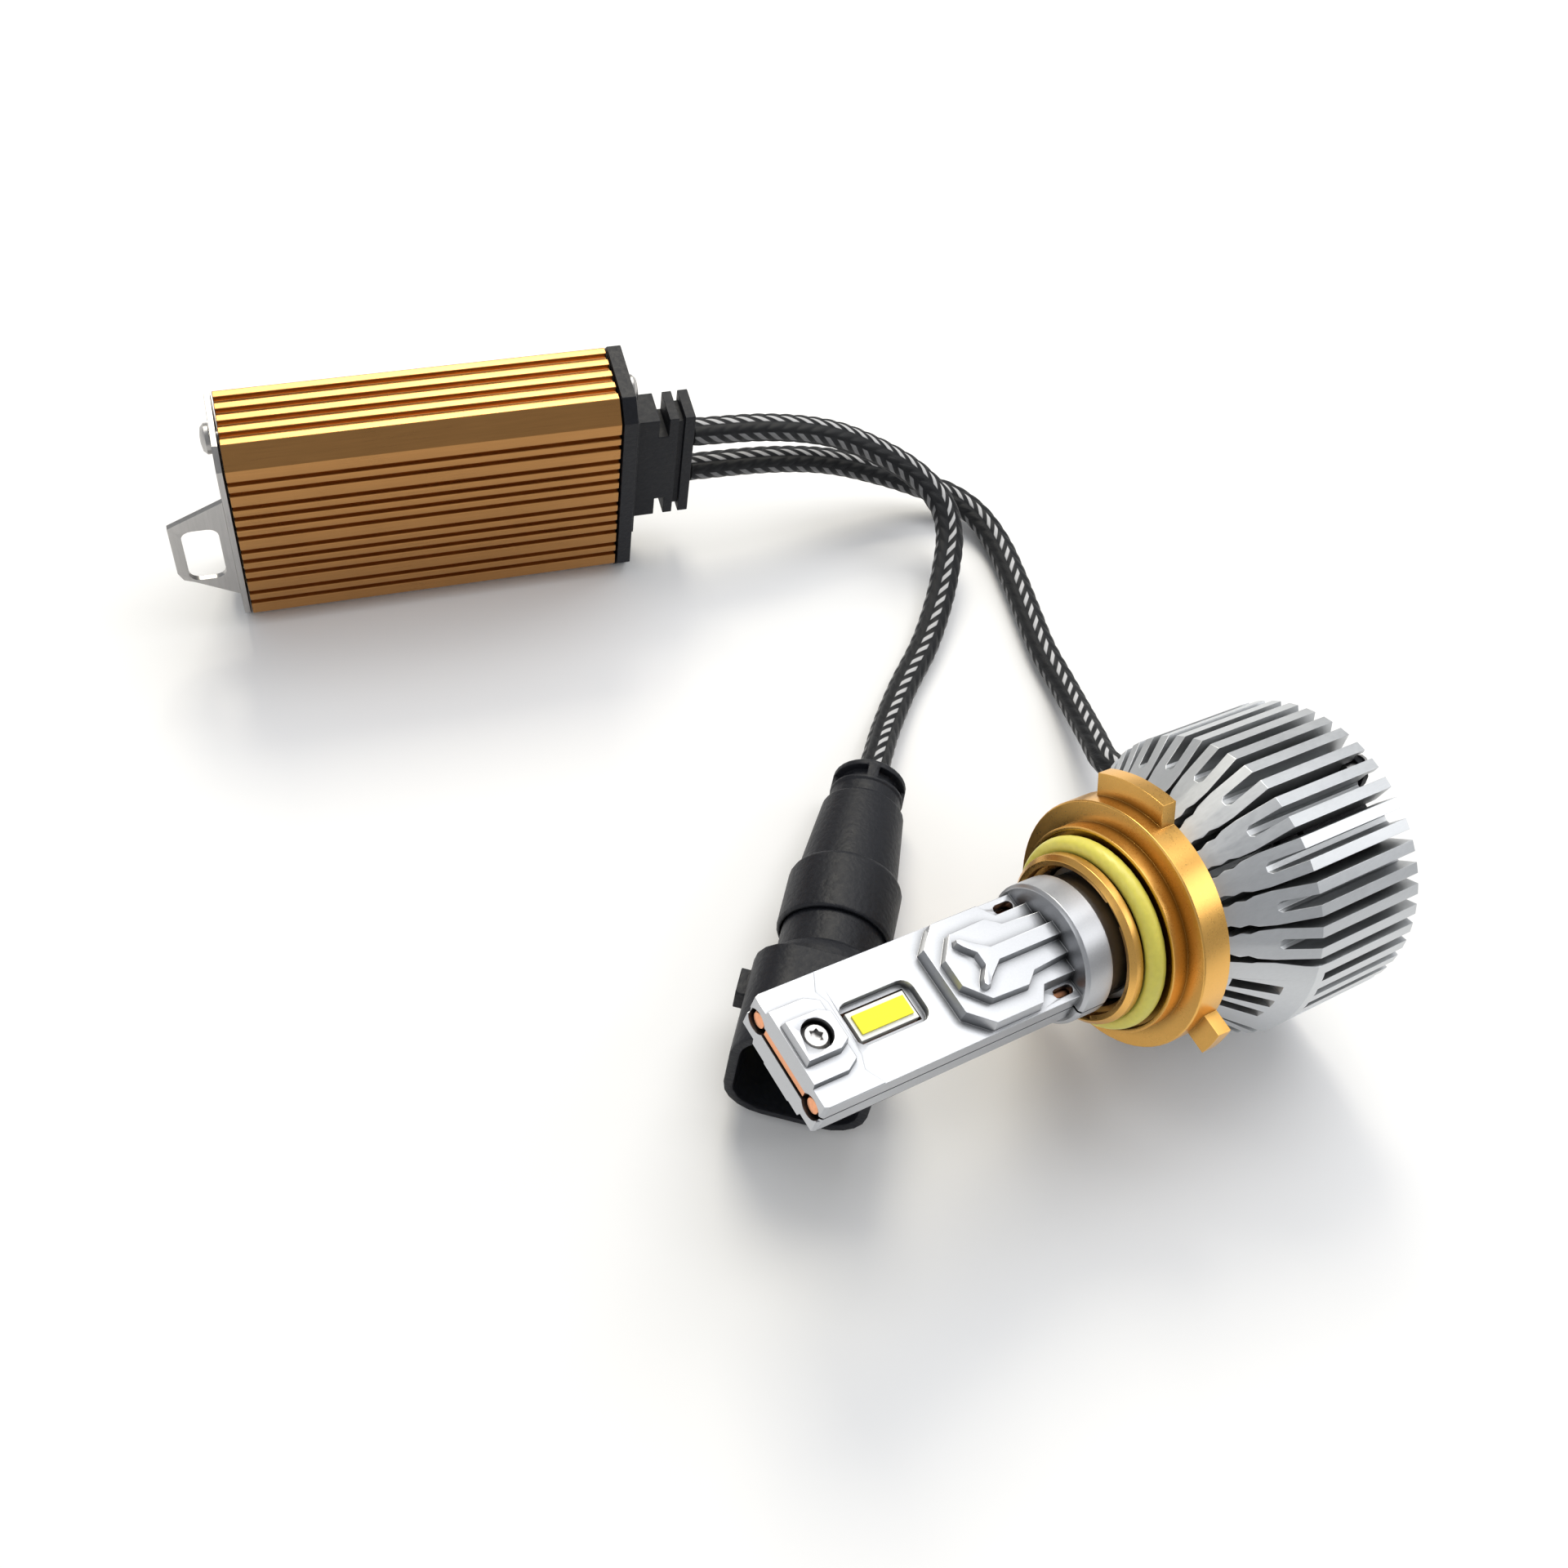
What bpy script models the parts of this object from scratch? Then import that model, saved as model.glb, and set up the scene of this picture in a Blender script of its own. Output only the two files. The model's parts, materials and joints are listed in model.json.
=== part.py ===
"""LED headlight bulb with its driver box, two braided cables and a feed plug.

Everything lies on a table at Z = 0. The origin is the centre of the base of the bulb and the
driver box together. Lengths are written in millimetres and scaled to metres as they are built.

Three local frames carry the pieces:
  bulb    Z runs along the bulb to its nose, Y points out of the upper blade face, Z = 0 is the
          front edge of the mounting flange.
  driver  X runs along the box to its cable end, Y through its depth, Z up.
  plug    Z runs from the cable end to the open hood, Y up.
"""

import math

import bmesh
import bpy
from mathutils import Matrix, Vector

MM = 0.001
GAP = 0.3                        # face to face clearance between neighbouring solids

# Where the three assemblies lie
BULB_PLACE = (20.75, -50.74)
BULB_NOSE_UP = 10.585            # degrees, the heat sink's rear rim and the plug carry the bulb
DRIVER_PLACE = (-48.92, 56.69)
DRIVER_TURN = -15.613            # degrees about Z
PLUG_PLACE = (15.00, -9.85)
PLUG_HEADING = -133.4            # degrees about Z, from the cable end to the hood

# Heat sink
SINK_RADIUS = 19.93
SINK_SHOULDER = -16.03           # where the sloping fin fronts meet the cylinder
SINK_REAR = -33.60
SINK_FRONT = -4.54
SINK_FRONT_RADIUS = 11.2
HUB_RADIUS = 10.4
HUB_REAR = -20.6
TREES = 22                       # forked fins round the hub
FORK_RADIUS = 16.8
FIN_WIDTH = 1.45
FORK_GAP = 1.40
TREE_STEM_WIDTH = 1.8
TREE_RIPPLE = 0.14                # shallow ridges along the sides of a forked fin
PANEL_TREES = (-1, 0, 1)         # the forked fins that the plain front panel covers
PANEL_THICKNESS = 1.6
VENT_ANGLES = (-9.0, 0.0, 9.0)   # three plain slots in the front panel, degrees
FAN_CAVITY_RADIUS = 15.4
STEM_BORE_DEPTH = 11.2

# Stem, collar and blade
STEM_RADIUS = 7.9
STEM_REAR = -15.0
COLLAR_RADIUS = 8.9
COLLAR_REAR = 7.8
COLLAR_FRONT = 11.8
BLADE_HALF_WIDTH = 7.7
BLADE_TIP = 49.2
BASE_LEVEL = 2.56                # half the blade's plain thickness
TIP_STEP = 0.18
PAD_LEVEL = 3.5
SCREW_PAD_LEVEL = 4.6
TERRACE_1 = 4.2
TERRACE_2 = 5.3
TERRACE_3 = 6.3
DRAFT = 0.3                      # how far the walls of the raised steps lean in
STRIP_HALF_THICKNESS = 0.45
PIPE_RADIUS = 1.3
PIPE_COVER = 0.8                 # wall of the stem outside a heat pipe
PIPE_WINDOW_WIDTH = 1.3          # the openings beside the collar that show the heat pipes
PIPE_WINDOW_LENGTH = 2.9
PIPE_WINDOW_OFFSET = 0.5         # outwards from the middle of the heat pipe
PIPE_WINDOW_Z = 13.7

# LEDs
LED_MIDDLE = 36.0
LED_WIDTH = 3.7
LED_LENGTH = 8.2
LED_THICKNESS = 1.0
PHOSPHOR_WIDTH = 2.5
PHOSPHOR_LENGTH = 7.3
PHOSPHOR_THICKNESS = 0.25
WINDOW_WIDTH = 5.7
WINDOW_LENGTH = 10.4
WINDOW_FLOOR = 1.5

# Blade screw
SCREW_Z = 46.0
SCREW_HEAD_RADIUS = 1.65
SCREW_HEAD_HEIGHT = 1.1
SCREW_RECESS = 1.9
SCREW_SHANK_RADIUS = 0.9
STAR_RADIUS = 0.95               # six-point recess in the screw's head

# Mounting flange and its rings
FLANGE_RADIUS = 16.05
FLANGE_THICKNESS = 4.24
FLANGE_BOSS_RADIUS = 13.35
FLANGE_LIP_RADIUS = 10.9
FLANGE_BORE_RADIUS = 9.6
SEAL_TUBE = 1.4
SEAL_Z = 3.2
SNAP_RING_Z = 2.4
TAB_HEIGHT = 2.9
TAB_THICKNESS = 2.1
TABS = ((119.5, 5.5), (-2.0, 2.2), (238.0, 3.2))   # angle in degrees, half width

# Fan
FAN_FRAME_RADIUS = 15.0
FAN_WALL = 1.1
FAN_FRONT = -21.6
ROTOR_HUB_RADIUS = 8.2
ROTOR_BLADES = 9
SHAFT_RADIUS = 0.9
FAN_EAR_RADIUS = 17.6
FAN_EARS = (90.0, 212.0, 328.0)  # degrees
FAN_SCREW_RADIUS = 0.7

# Cable gland on the heat sink
GLAND_ANGLE = 205.0
GLAND_Z = -28.0
GLAND_RADIUS = 2.9
GLAND_HEAD = 1.5

# Driver box
DRIVER_LENGTH = 53.3
DRIVER_DEPTH = 14.3
DRIVER_HEIGHT = 35.5
BEVEL_UP = 2.87
BEVEL_DEEP = 2.23
DRIVER_WALL = 1.5
RIB_DEPTH = 0.7
WIDE_RIB = 2.0
NARROW_RIB = 1.2
FACE_RIBS = "WNWNNNWNNNWNW"
EDGE_RIBS = 5
END_PLATE = 0.8
END_CAP = 2.0
CAP_PROUD = 0.1                  # the end cap stands proud of the box all round, and it stands on it
PLINTH_HEIGHT = 1.0
TAB_REACH = 8.9
TAB_MIDDLE = 17.0
SLOT_WIDTH = 5.0
SLOT_LENGTH = 10.3
SLOT_CORNER = 1.5
GROMMET_DEPTH = 5.6
GROMMET_HEIGHT = 20.0
GROMMET_LENGTH = 9.6             # out from the end cap's face
END_SCREW_INSET = 3.6            # from the box's top and bottom to its end screws
END_SCREW_RADIUS = 1.0

# Feed plug
PLUG_CAP_RADIUS = 5.17
PLUG_RING_RADIUS = 7.73
PLUG_NECK_RADIUS = 6.93
HOOD_HALF_WIDTH = 9.3
HOOD_HALF_HEIGHT = 9.3
HOOD_CORNER = 5.6
HOOD_FRONT = 50.3
HOOD_WALL = 1.3
HOOD_REAR = 36.0
HOOD_FLOOR = 38.5
NECK_FRONT = 32.7
RING_REAR = 18.6
RING_FRONT = 27.9
RING_RECESS = 23.0               # how far the body's neck reaches back into the boot's ring
BOOT_PROFILE = ((6.55, 15.0), (6.15, 10.5), (5.75, 6.3), (4.95, 5.7), (4.95, 3.9))
CAP_SLOTS = (0.0, 90.0, 180.0, 270.0)
TERMINAL_SPACING = 6.0
TERMINAL_WIDTH = 2.4
TERMINAL_THICKNESS = 1.0
SEAL_THICKNESS = 1.4
SEAL_WIDTH = 1.5

CABLE_DIAMETER = 3.8

# Cable routes, each point in millimetres in the object's frame
INPUT_CABLE = [
    (16.1, 45.9, 21.8), (27.4, 42.9, 20.6), (36.4, 40.1, 18.2), (42.8, 36.8, 15.2),
    (48.2, 32.0, 12.0), (50.6, 27.0, 9.2), (49.9, 22.6, 6.8), (46.9, 18.3, 5.0),
    (42.7, 13.7, 3.3), (37.1, 8.7, 2.2), (30.2, 3.8, 2.0), (23.4, -1.8, 3.0),
    (18.8, -6.2, 4.8), (15.21, -9.63, 5.80)]
BULB_CABLE = [
    (46.59, -31.07, 11.61), (46.28, -27.45, 9.95), (46.1, -23.4, 8.1), (48.0, -18.5, 6.1),
    (50.0, -13.1, 4.1), (52.0, -6.6, 2.4), (53.3, 0.2, 2.0), (55.2, 6.9, 2.0),
    (57.2, 13.7, 2.0), (58.8, 20.4, 2.0), (58.6, 26.2, 2.7), (56.4, 30.6, 3.7),
    (52.6, 33.7, 5.0), (46.6, 37.2, 7.4), (38.0, 40.5, 10.8), (28.3, 42.9, 13.2),
    (16.1, 45.9, 14.3)]


# ---------------------------------------------------------------------------------------------
# Modelling helpers
# ---------------------------------------------------------------------------------------------

for old in list(bpy.data.objects):
    bpy.data.objects.remove(old, do_unlink=True)

model = bpy.data.collections.new("headlight_bulb")
bpy.context.scene.collection.children.link(model)


def make_material(name, colour, roughness, metallic=0.0):
    material = bpy.data.materials.new(name)
    material.use_nodes = True
    shader = material.node_tree.nodes["Principled BSDF"]
    shader.inputs["Base Color"].default_value = (*colour, 1.0)
    shader.inputs["Roughness"].default_value = roughness
    shader.inputs["Metallic"].default_value = metallic
    return material


SILVER = make_material("cast_aluminium", (0.70, 0.71, 0.73), 0.34, 1.0)
GOLD = make_material("gold_anodised", (0.83, 0.50, 0.16), 0.33, 1.0)
BRONZE = make_material("bronze_anodised", (0.60, 0.36, 0.14), 0.36, 1.0)
COPPER = make_material("copper", (0.75, 0.33, 0.17), 0.35, 1.0)
STEEL = make_material("steel", (0.60, 0.60, 0.60), 0.35, 1.0)
BLACK = make_material("black_plastic", (0.02, 0.02, 0.025), 0.55)
RUBBER = make_material("black_rubber", (0.015, 0.015, 0.018), 0.7)
BRAID = make_material("braided_sleeve", (0.03, 0.03, 0.035), 0.65)
SEAL = make_material("yellow_silicone", (0.72, 0.68, 0.20), 0.4)
CERAMIC = make_material("white_ceramic", (0.92, 0.92, 0.90), 0.5)
PHOSPHOR = make_material("yellow_phosphor", (0.95, 0.90, 0.05), 0.5)
BOARD = make_material("circuit_board", (0.02, 0.17, 0.07), 0.45)
FERRITE = make_material("ferrite", (0.10, 0.10, 0.11), 0.6)
TIN = make_material("tinned_brass", (0.78, 0.76, 0.70), 0.3, 1.0)


def add(name, mesh):
    thing = bpy.data.objects.new(name, mesh)
    model.objects.link(thing)
    return thing


def bake(thing):
    """Turn an object with modifiers, or a curve, into a plain closed mesh object."""
    bpy.context.view_layer.update()
    graph = bpy.context.evaluated_depsgraph_get()
    mesh = bpy.data.meshes.new_from_object(thing.evaluated_get(graph))
    form = bmesh.new()
    form.from_mesh(mesh)
    bmesh.ops.remove_doubles(form, verts=form.verts, dist=1e-6)
    bmesh.ops.dissolve_degenerate(form, edges=form.edges, dist=1e-7)
    bmesh.ops.recalc_face_normals(form, faces=form.faces)
    form.to_mesh(mesh)
    form.free()
    placed = add(thing.name + "_baked", mesh)
    placed.matrix_world = thing.matrix_world
    name = thing.name
    bpy.data.objects.remove(thing, do_unlink=True)
    placed.name = name
    return placed


def move(thing, matrix):
    thing.data.transform(matrix)
    return thing


def boolean(target, tool, operation):
    step = target.modifiers.new(operation.lower(), "BOOLEAN")
    step.operation = operation
    step.object = tool
    result = bake(target)
    bpy.data.objects.remove(tool, do_unlink=True)
    return result


def cut(target, *tools):
    for tool in tools:
        target = boolean(target, tool, "DIFFERENCE")
    return target


def fuse(target, *tools):
    for tool in tools:
        target = boolean(target, tool, "UNION")
    return target


def box(name, low, high):
    form = bmesh.new()
    size = [(b - a) * MM for a, b in zip(low, high)]
    centre = [(b + a) * MM / 2 for a, b in zip(low, high)]
    place = Matrix.Translation(centre) @ Matrix.Diagonal((*size, 1.0))
    bmesh.ops.create_cube(form, size=1.0, matrix=place)
    mesh = bpy.data.meshes.new(name)
    form.to_mesh(mesh)
    form.free()
    return add(name, mesh)


def rod(name, radius, low, high, x=0.0, y=0.0, segments=32, top_radius=None):
    """A cylinder or a cone along Z."""
    form = bmesh.new()
    end = radius if top_radius is None else top_radius
    bmesh.ops.create_cone(form, cap_ends=True, segments=segments, radius1=radius * MM,
                          radius2=end * MM, depth=(high - low) * MM,
                          matrix=Matrix.Translation((x * MM, y * MM, (high + low) * MM / 2)))
    mesh = bpy.data.meshes.new(name)
    form.to_mesh(mesh)
    form.free()
    return add(name, mesh)


def turned(name, profile, segments=48):
    """A profile of (radius, height) points, outer side from top to bottom, turned about Z."""
    closed = profile[0][0] > 0 or profile[-1][0] > 0
    mesh = bpy.data.meshes.new(name)
    edges = [(i, i + 1) for i in range(len(profile) - 1)]
    if closed:
        edges.append((len(profile) - 1, 0))
    mesh.from_pydata([(r * MM, 0.0, z * MM) for r, z in profile], edges, [])
    thing = add(name, mesh)
    turn = thing.modifiers.new("turn", "SCREW")
    turn.axis = "Z"
    turn.steps = segments
    turn.render_steps = segments
    turn.use_merge_vertices = True
    turn.merge_threshold = 0.000001
    return bake(thing)


def plate(name, outline, low, high, normal="Z"):
    """A flat outline given thickness from low to high along its normal.

    The outline's points are (x, y) for Z, (x, z) for Y and (y, z) for X.
    """
    curve = bpy.data.curves.new(name, "CURVE")
    curve.dimensions = "2D"
    curve.fill_mode = "BOTH"
    curve.extrude = (high - low) * MM / 2
    spline = curve.splines.new("POLY")
    spline.points.add(len(outline) - 1)
    for point, (u, v) in zip(spline.points, outline):
        point.co = (u * MM, v * MM, 0.0, 1.0)
    spline.use_cyclic_u = True
    thing = bake(add(name, curve))
    middle = (high + low) * MM / 2
    frames = {
        "Z": Matrix.Translation((0, 0, middle)),
        "Y": Matrix.Translation((0, middle, 0)) @ Matrix.Rotation(math.pi / 2, 4, "X"),
        "X": Matrix.Translation((middle, 0, 0)) @ Matrix(((0, 0, 1, 0), (1, 0, 0, 0),
                                                          (0, 1, 0, 0), (0, 0, 0, 1)))}
    return move(thing, frames[normal])


def lean_in(outline, amount):
    """The outline's points moved inwards, so that each edge moves by the amount."""
    after = outline[1:] + outline[:1]
    area = sum(ax * by - bx * ay for (ax, ay), (bx, by) in zip(outline, after))
    inward = math.copysign(amount, area)
    moved = []
    for (px, py), (x, y), (qx, qy) in zip(outline[-1:] + outline[:-1], outline, after):
        back = Vector((x - px, y - py)).normalized()
        ahead = Vector((qx - x, qy - y)).normalized()
        reach = inward / (1.0 + back.dot(ahead))
        moved.append((x - (back.y + ahead.y) * reach, y + (back.x + ahead.x) * reach))
    return moved


def raised(name, outline, low, high):
    """An outline of (x, z) points raised along Y from low to high, its walls leaning in."""
    top = lean_in(outline, DRAFT)
    count = len(outline)
    form = bmesh.new()
    foot = [form.verts.new((x * MM, low * MM, z * MM)) for x, z in outline]
    crest = [form.verts.new((x * MM, high * MM, z * MM)) for x, z in top]
    form.faces.new(foot)
    form.faces.new(crest)
    for i in range(count):
        j = (i + 1) % count
        form.faces.new((foot[i], foot[j], crest[j], crest[i]))
    bmesh.ops.recalc_face_normals(form, faces=form.faces)
    mesh = bpy.data.meshes.new(name)
    form.to_mesh(mesh)
    form.free()
    return add(name, mesh)


def rounded(width, height, radius, x=0.0, y=0.0, steps=5):
    """The outline of a rectangle with rounded corners."""
    points = []
    for turn, (sx, sy) in enumerate(((1, 1), (-1, 1), (-1, -1), (1, -1))):
        for step in range(steps + 1):
            angle = math.radians(90 * turn + 90 * step / steps)
            points.append((x + sx * (width / 2 - radius) + radius * math.cos(angle),
                           y + sy * (height / 2 - radius) + radius * math.sin(angle)))
    return points


def polar(radius, degrees):
    angle = math.radians(degrees)
    return radius * math.cos(angle), radius * math.sin(angle)


def about_z(degrees):
    return Matrix.Rotation(math.radians(degrees), 4, "Z")


def finish(thing, material, parent=None, crease=35.0):
    thing.data.materials.clear()
    thing.data.materials.append(material)
    thing.data.shade_smooth()
    thing.data.set_sharp_from_angle(angle=math.radians(crease))
    thing.parent = parent
    return thing


def frame(name, place, height, heading, tilt):
    """An empty whose Z axis points along the heading and is raised by the tilt."""
    empty = bpy.data.objects.new(name, None)
    model.objects.link(empty)
    empty.location = (place[0] * MM, place[1] * MM, height * MM)
    empty.rotation_euler = (math.radians(90 - tilt), 0.0, math.radians(heading + 90))
    return empty


# ---------------------------------------------------------------------------------------------
# Bulb
# ---------------------------------------------------------------------------------------------

tilt = math.radians(BULB_NOSE_UP)
bulb_height = SINK_RADIUS * math.cos(tilt) - SINK_REAR * math.sin(tilt)
bulb = frame("bulb_frame", BULB_PLACE, bulb_height, 180.0, BULB_NOSE_UP)


def mirrored(half):
    """A symmetric outline from the points of its half at +X, given from the front backwards."""
    return half + [(-x, z) for x, z in reversed(half)]


# The heat pipes lie just inside the stem's wall, and the core board fills the space between them.
pipe_offset = STEM_RADIUS - PIPE_COVER - PIPE_RADIUS
strip_half_width = pipe_offset - PIPE_RADIUS - GAP


def blade_shell(name, side):
    """Half of the blade, its collar and its stem; side is 1 for the upper half, -1 for the lower."""

    def slab(outline, low, high):
        return plate(name + "_slab", outline, min(side * low, side * high),
                     max(side * low, side * high), "Y")

    def step(outline, below, level):
        return raised(name + "_step", outline, side * (below - 0.3), side * level)

    half_gap = GAP / 2
    led_side = LED_WIDTH / 2 + GAP
    led_end = LED_LENGTH / 2 + GAP
    strip_side = strip_half_width + GAP
    far = COLLAR_RADIUS + 1.0
    stem = turned(name, [(0.0, COLLAR_FRONT), (COLLAR_RADIUS - 0.4, COLLAR_FRONT),
                         (COLLAR_RADIUS, COLLAR_FRONT - 0.4), (COLLAR_RADIUS, COLLAR_REAR),
                         (STEM_RADIUS, COLLAR_REAR), (STEM_RADIUS, SNAP_RING_Z + 0.8),
                         (STEM_RADIUS - 0.5, SNAP_RING_Z + 0.8),
                         (STEM_RADIUS - 0.5, SNAP_RING_Z - 0.8),
                         (STEM_RADIUS, SNAP_RING_Z - 0.8), (STEM_RADIUS, STEM_REAR),
                         (0.0, STEM_REAR)])
    other_half = box("other_half", (-far, min(-side * far, side * half_gap), STEM_REAR - 1),
                     (far, max(-side * far, side * half_gap), COLLAR_FRONT + 1))
    shell = cut(stem, other_half)

    edge = BLADE_HALF_WIDTH
    root = COLLAR_FRONT - 1.0
    over = BLADE_TIP + 1.0
    blade = slab(mirrored([(edge - 0.6, BLADE_TIP), (edge, BLADE_TIP - 0.6), (edge, root)]),
                 half_gap, BASE_LEVEL)
    tip = slab(mirrored([(edge - 0.6, over), (edge - 0.05, BLADE_TIP - 0.6),
                         (edge - 0.05, BLADE_TIP - 8.2), (5.3, BLADE_TIP - 6.9),
                         (3.6, BLADE_TIP - 7.6)]), 0.6, BASE_LEVEL + TIP_STEP)
    pad = step(mirrored([(5.2, over + 0.6), (5.2, BLADE_TIP - 4.8), (4.1, BLADE_TIP - 6.7)]),
               BASE_LEVEL, PAD_LEVEL)
    screw_pad = step(mirrored([(2.9, BLADE_TIP - 0.2), (2.9, BLADE_TIP - 4.9),
                               (2.0, BLADE_TIP - 6.5)]), PAD_LEVEL, SCREW_PAD_LEVEL)
    terrace_1 = step(mirrored([(4.6, 28.2), (edge - 0.3, 25.2), (edge - 0.3, 18.0), (5.4, 16.4),
                               (5.4, root - 0.6)]), BASE_LEVEL, TERRACE_1)
    terrace_2 = step(mirrored([(1.9, 27.3), (4.9, 24.6), (5.1, 19.0), (3.7, 17.2),
                               (3.2, root - 0.7)]), TERRACE_1, TERRACE_2)
    arm = [(-0.75, 23.6), (-2.0, 24.75), (-2.9, 25.3), (-3.6, 24.9), (-3.5, 24.1), (-2.7, 23.3)]
    spine = step([(1.2, root - 0.8), (1.2, 21.2)] + [(-x, z) for x, z in reversed(arm)]
                 + arm + [(-1.2, 21.2), (-1.2, root - 0.8)], TERRACE_2, TERRACE_3)
    shell = fuse(shell, blade, tip, pad, screw_pad, terrace_1, terrace_2, spine)
    shell = cut(shell, box("beyond_tip", (-9.0, -9.0, BLADE_TIP), (9.0, 9.0, over + 1.0)))

    cuts = [slab(rounded(WINDOW_WIDTH, WINDOW_LENGTH, 1.5, 0.0, LED_MIDDLE), WINDOW_FLOOR, 9.0),
            slab(mirrored([(led_side, LED_MIDDLE + led_end), (led_side, LED_MIDDLE - led_end)]), -1.0, 9.0),
            slab(mirrored([(strip_side, BLADE_TIP + 1.0), (strip_side, STEM_REAR - 1.0)]), -1.0,
                 STRIP_HALF_THICKNESS + GAP)]
    for x in (-pipe_offset, pipe_offset):
        cuts.append(rod("pipe_channel", PIPE_RADIUS + GAP, STEM_REAR - 1, BLADE_TIP + 1, x, 0.0, 20))
        cuts.append(slab(rounded(PIPE_WINDOW_WIDTH, PIPE_WINDOW_LENGTH, 0.6,
                                 x + math.copysign(PIPE_WINDOW_OFFSET, x), PIPE_WINDOW_Z, 2), 0.6, 9.0))
    hole = rod("screw_hole", SCREW_SHANK_RADIUS + GAP, -4.0, 9.0, segments=16)
    cuts.append(move(hole, Matrix.Translation((0, 0, SCREW_Z * MM))
                     @ Matrix.Rotation(-side * math.pi / 2, 4, "X")))
    if side > 0:
        recess = rod("screw_recess", SCREW_HEAD_RADIUS + GAP, SCREW_PAD_LEVEL - SCREW_RECESS, 9.0,
                     segments=24)
        cuts.append(move(recess, Matrix.Translation((0, 0, SCREW_Z * MM))
                         @ Matrix.Rotation(-math.pi / 2, 4, "X")))
    return finish(cut(shell, *cuts), SILVER, bulb)


blade_shell("blade_shell_upper", 1)
blade_shell("blade_shell_lower", -1)

core_board = box("core_board", (-strip_half_width, -STRIP_HALF_THICKNESS, STEM_REAR + 1.0),
                 (strip_half_width, STRIP_HALF_THICKNESS, BLADE_TIP - 0.2))
board_hole = rod("board_hole", SCREW_SHANK_RADIUS + GAP, -4.0, 4.0, segments=16)
core_board = cut(core_board, move(board_hole, Matrix.Translation((0, 0, SCREW_Z * MM))
                                  @ Matrix.Rotation(math.pi / 2, 4, "X")))
finish(core_board, COPPER, bulb)

for label, offset in (("left", -pipe_offset), ("right", pipe_offset)):
    pipe = turned("heat_pipe_" + label,
                  [(0.0, BLADE_TIP - 0.2), (PIPE_RADIUS * 0.75, BLADE_TIP - 0.35),
                   (PIPE_RADIUS, BLADE_TIP - 0.9), (PIPE_RADIUS, STEM_REAR + 1.4),
                   (PIPE_RADIUS * 0.6, STEM_REAR + 0.6), (0.0, STEM_REAR + 0.5)], 16)
    finish(move(pipe, Matrix.Translation((offset * MM, 0, 0))), COPPER, bulb)

for label, side in (("upper", 1), ("lower", -1)):
    seat = STRIP_HALF_THICKNESS + GAP
    top = seat + LED_THICKNESS
    substrate = box(f"led_{label}_substrate",
                    (-LED_WIDTH / 2, min(side * seat, side * top), LED_MIDDLE - LED_LENGTH / 2),
                    (LED_WIDTH / 2, max(side * seat, side * top), LED_MIDDLE + LED_LENGTH / 2))
    finish(substrate, CERAMIC, bulb)
    low = top + 0.05
    high = low + PHOSPHOR_THICKNESS
    half_length = PHOSPHOR_LENGTH / 2
    phosphor = box(f"led_{label}_phosphor",
                   (-PHOSPHOR_WIDTH / 2, min(side * low, side * high), LED_MIDDLE - half_length),
                   (PHOSPHOR_WIDTH / 2, max(side * low, side * high), LED_MIDDLE + half_length))
    finish(phosphor, PHOSPHOR, bulb)

# The blade screw's head sits in its recess; the tip of its thread ends in the lower shell.
head_top = SCREW_PAD_LEVEL - SCREW_RECESS + GAP + SCREW_HEAD_HEIGHT
head_low = head_top - SCREW_HEAD_HEIGHT
blade_screw = turned("blade_screw",
                     [(0.0, head_top), (SCREW_HEAD_RADIUS - 0.3, head_top),
                      (SCREW_HEAD_RADIUS, head_top - 0.3),
                      (SCREW_HEAD_RADIUS, head_low), (SCREW_SHANK_RADIUS, head_low),
                      (SCREW_SHANK_RADIUS, -BASE_LEVEL), (SCREW_SHANK_RADIUS - 0.3, -BASE_LEVEL - 0.5),
                      (0.0, -BASE_LEVEL - 0.5)], 20)
star = [polar(STAR_RADIUS if i % 2 else STAR_RADIUS * 0.68, 30.0 * i) for i in range(12)]
blade_screw = cut(blade_screw, plate("star", star, head_top - 0.6, head_top + 1.0))
finish(move(blade_screw, Matrix.Translation((0, 0, SCREW_Z * MM))
            @ Matrix.Rotation(-math.pi / 2, 4, "X")), STEEL, bulb)

# Mounting flange: rim, dished face, boss, seal groove and chamfered lip, with three locking tabs
groove_rear = SEAL_Z - SEAL_TUBE - 0.2
groove_front = SEAL_Z + SEAL_TUBE + 0.2
seal_ring_radius = FLANGE_LIP_RADIUS + 0.3
groove_radius = seal_ring_radius - SEAL_TUBE - GAP
guide_radius = STEM_RADIUS + GAP
flange = turned("mount_flange",
                [(FLANGE_LIP_RADIUS - 0.6, groove_front + 1.7),
                 (FLANGE_LIP_RADIUS, groove_front + 1.1), (FLANGE_LIP_RADIUS, groove_front),
                 (groove_radius, groove_front), (groove_radius, groove_rear),
                 (FLANGE_BOSS_RADIUS - 0.6, groove_rear), (FLANGE_BOSS_RADIUS - 0.5, groove_rear + 0.6),
                 (FLANGE_BOSS_RADIUS, groove_rear + 0.6), (FLANGE_BOSS_RADIUS, 0.0),
                 (FLANGE_RADIUS - 0.15, 0.0), (FLANGE_RADIUS, -0.15),
                 (FLANGE_RADIUS, -FLANGE_THICKNESS), (guide_radius, -FLANGE_THICKNESS),
                 (guide_radius, SNAP_RING_Z - 0.8), (groove_radius - 0.55, SNAP_RING_Z - 0.8),
                 (groove_radius - 0.55, groove_front),
                 (FLANGE_BORE_RADIUS, groove_front + 0.4), (FLANGE_BORE_RADIUS, groove_front + 1.5)], 64)
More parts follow.
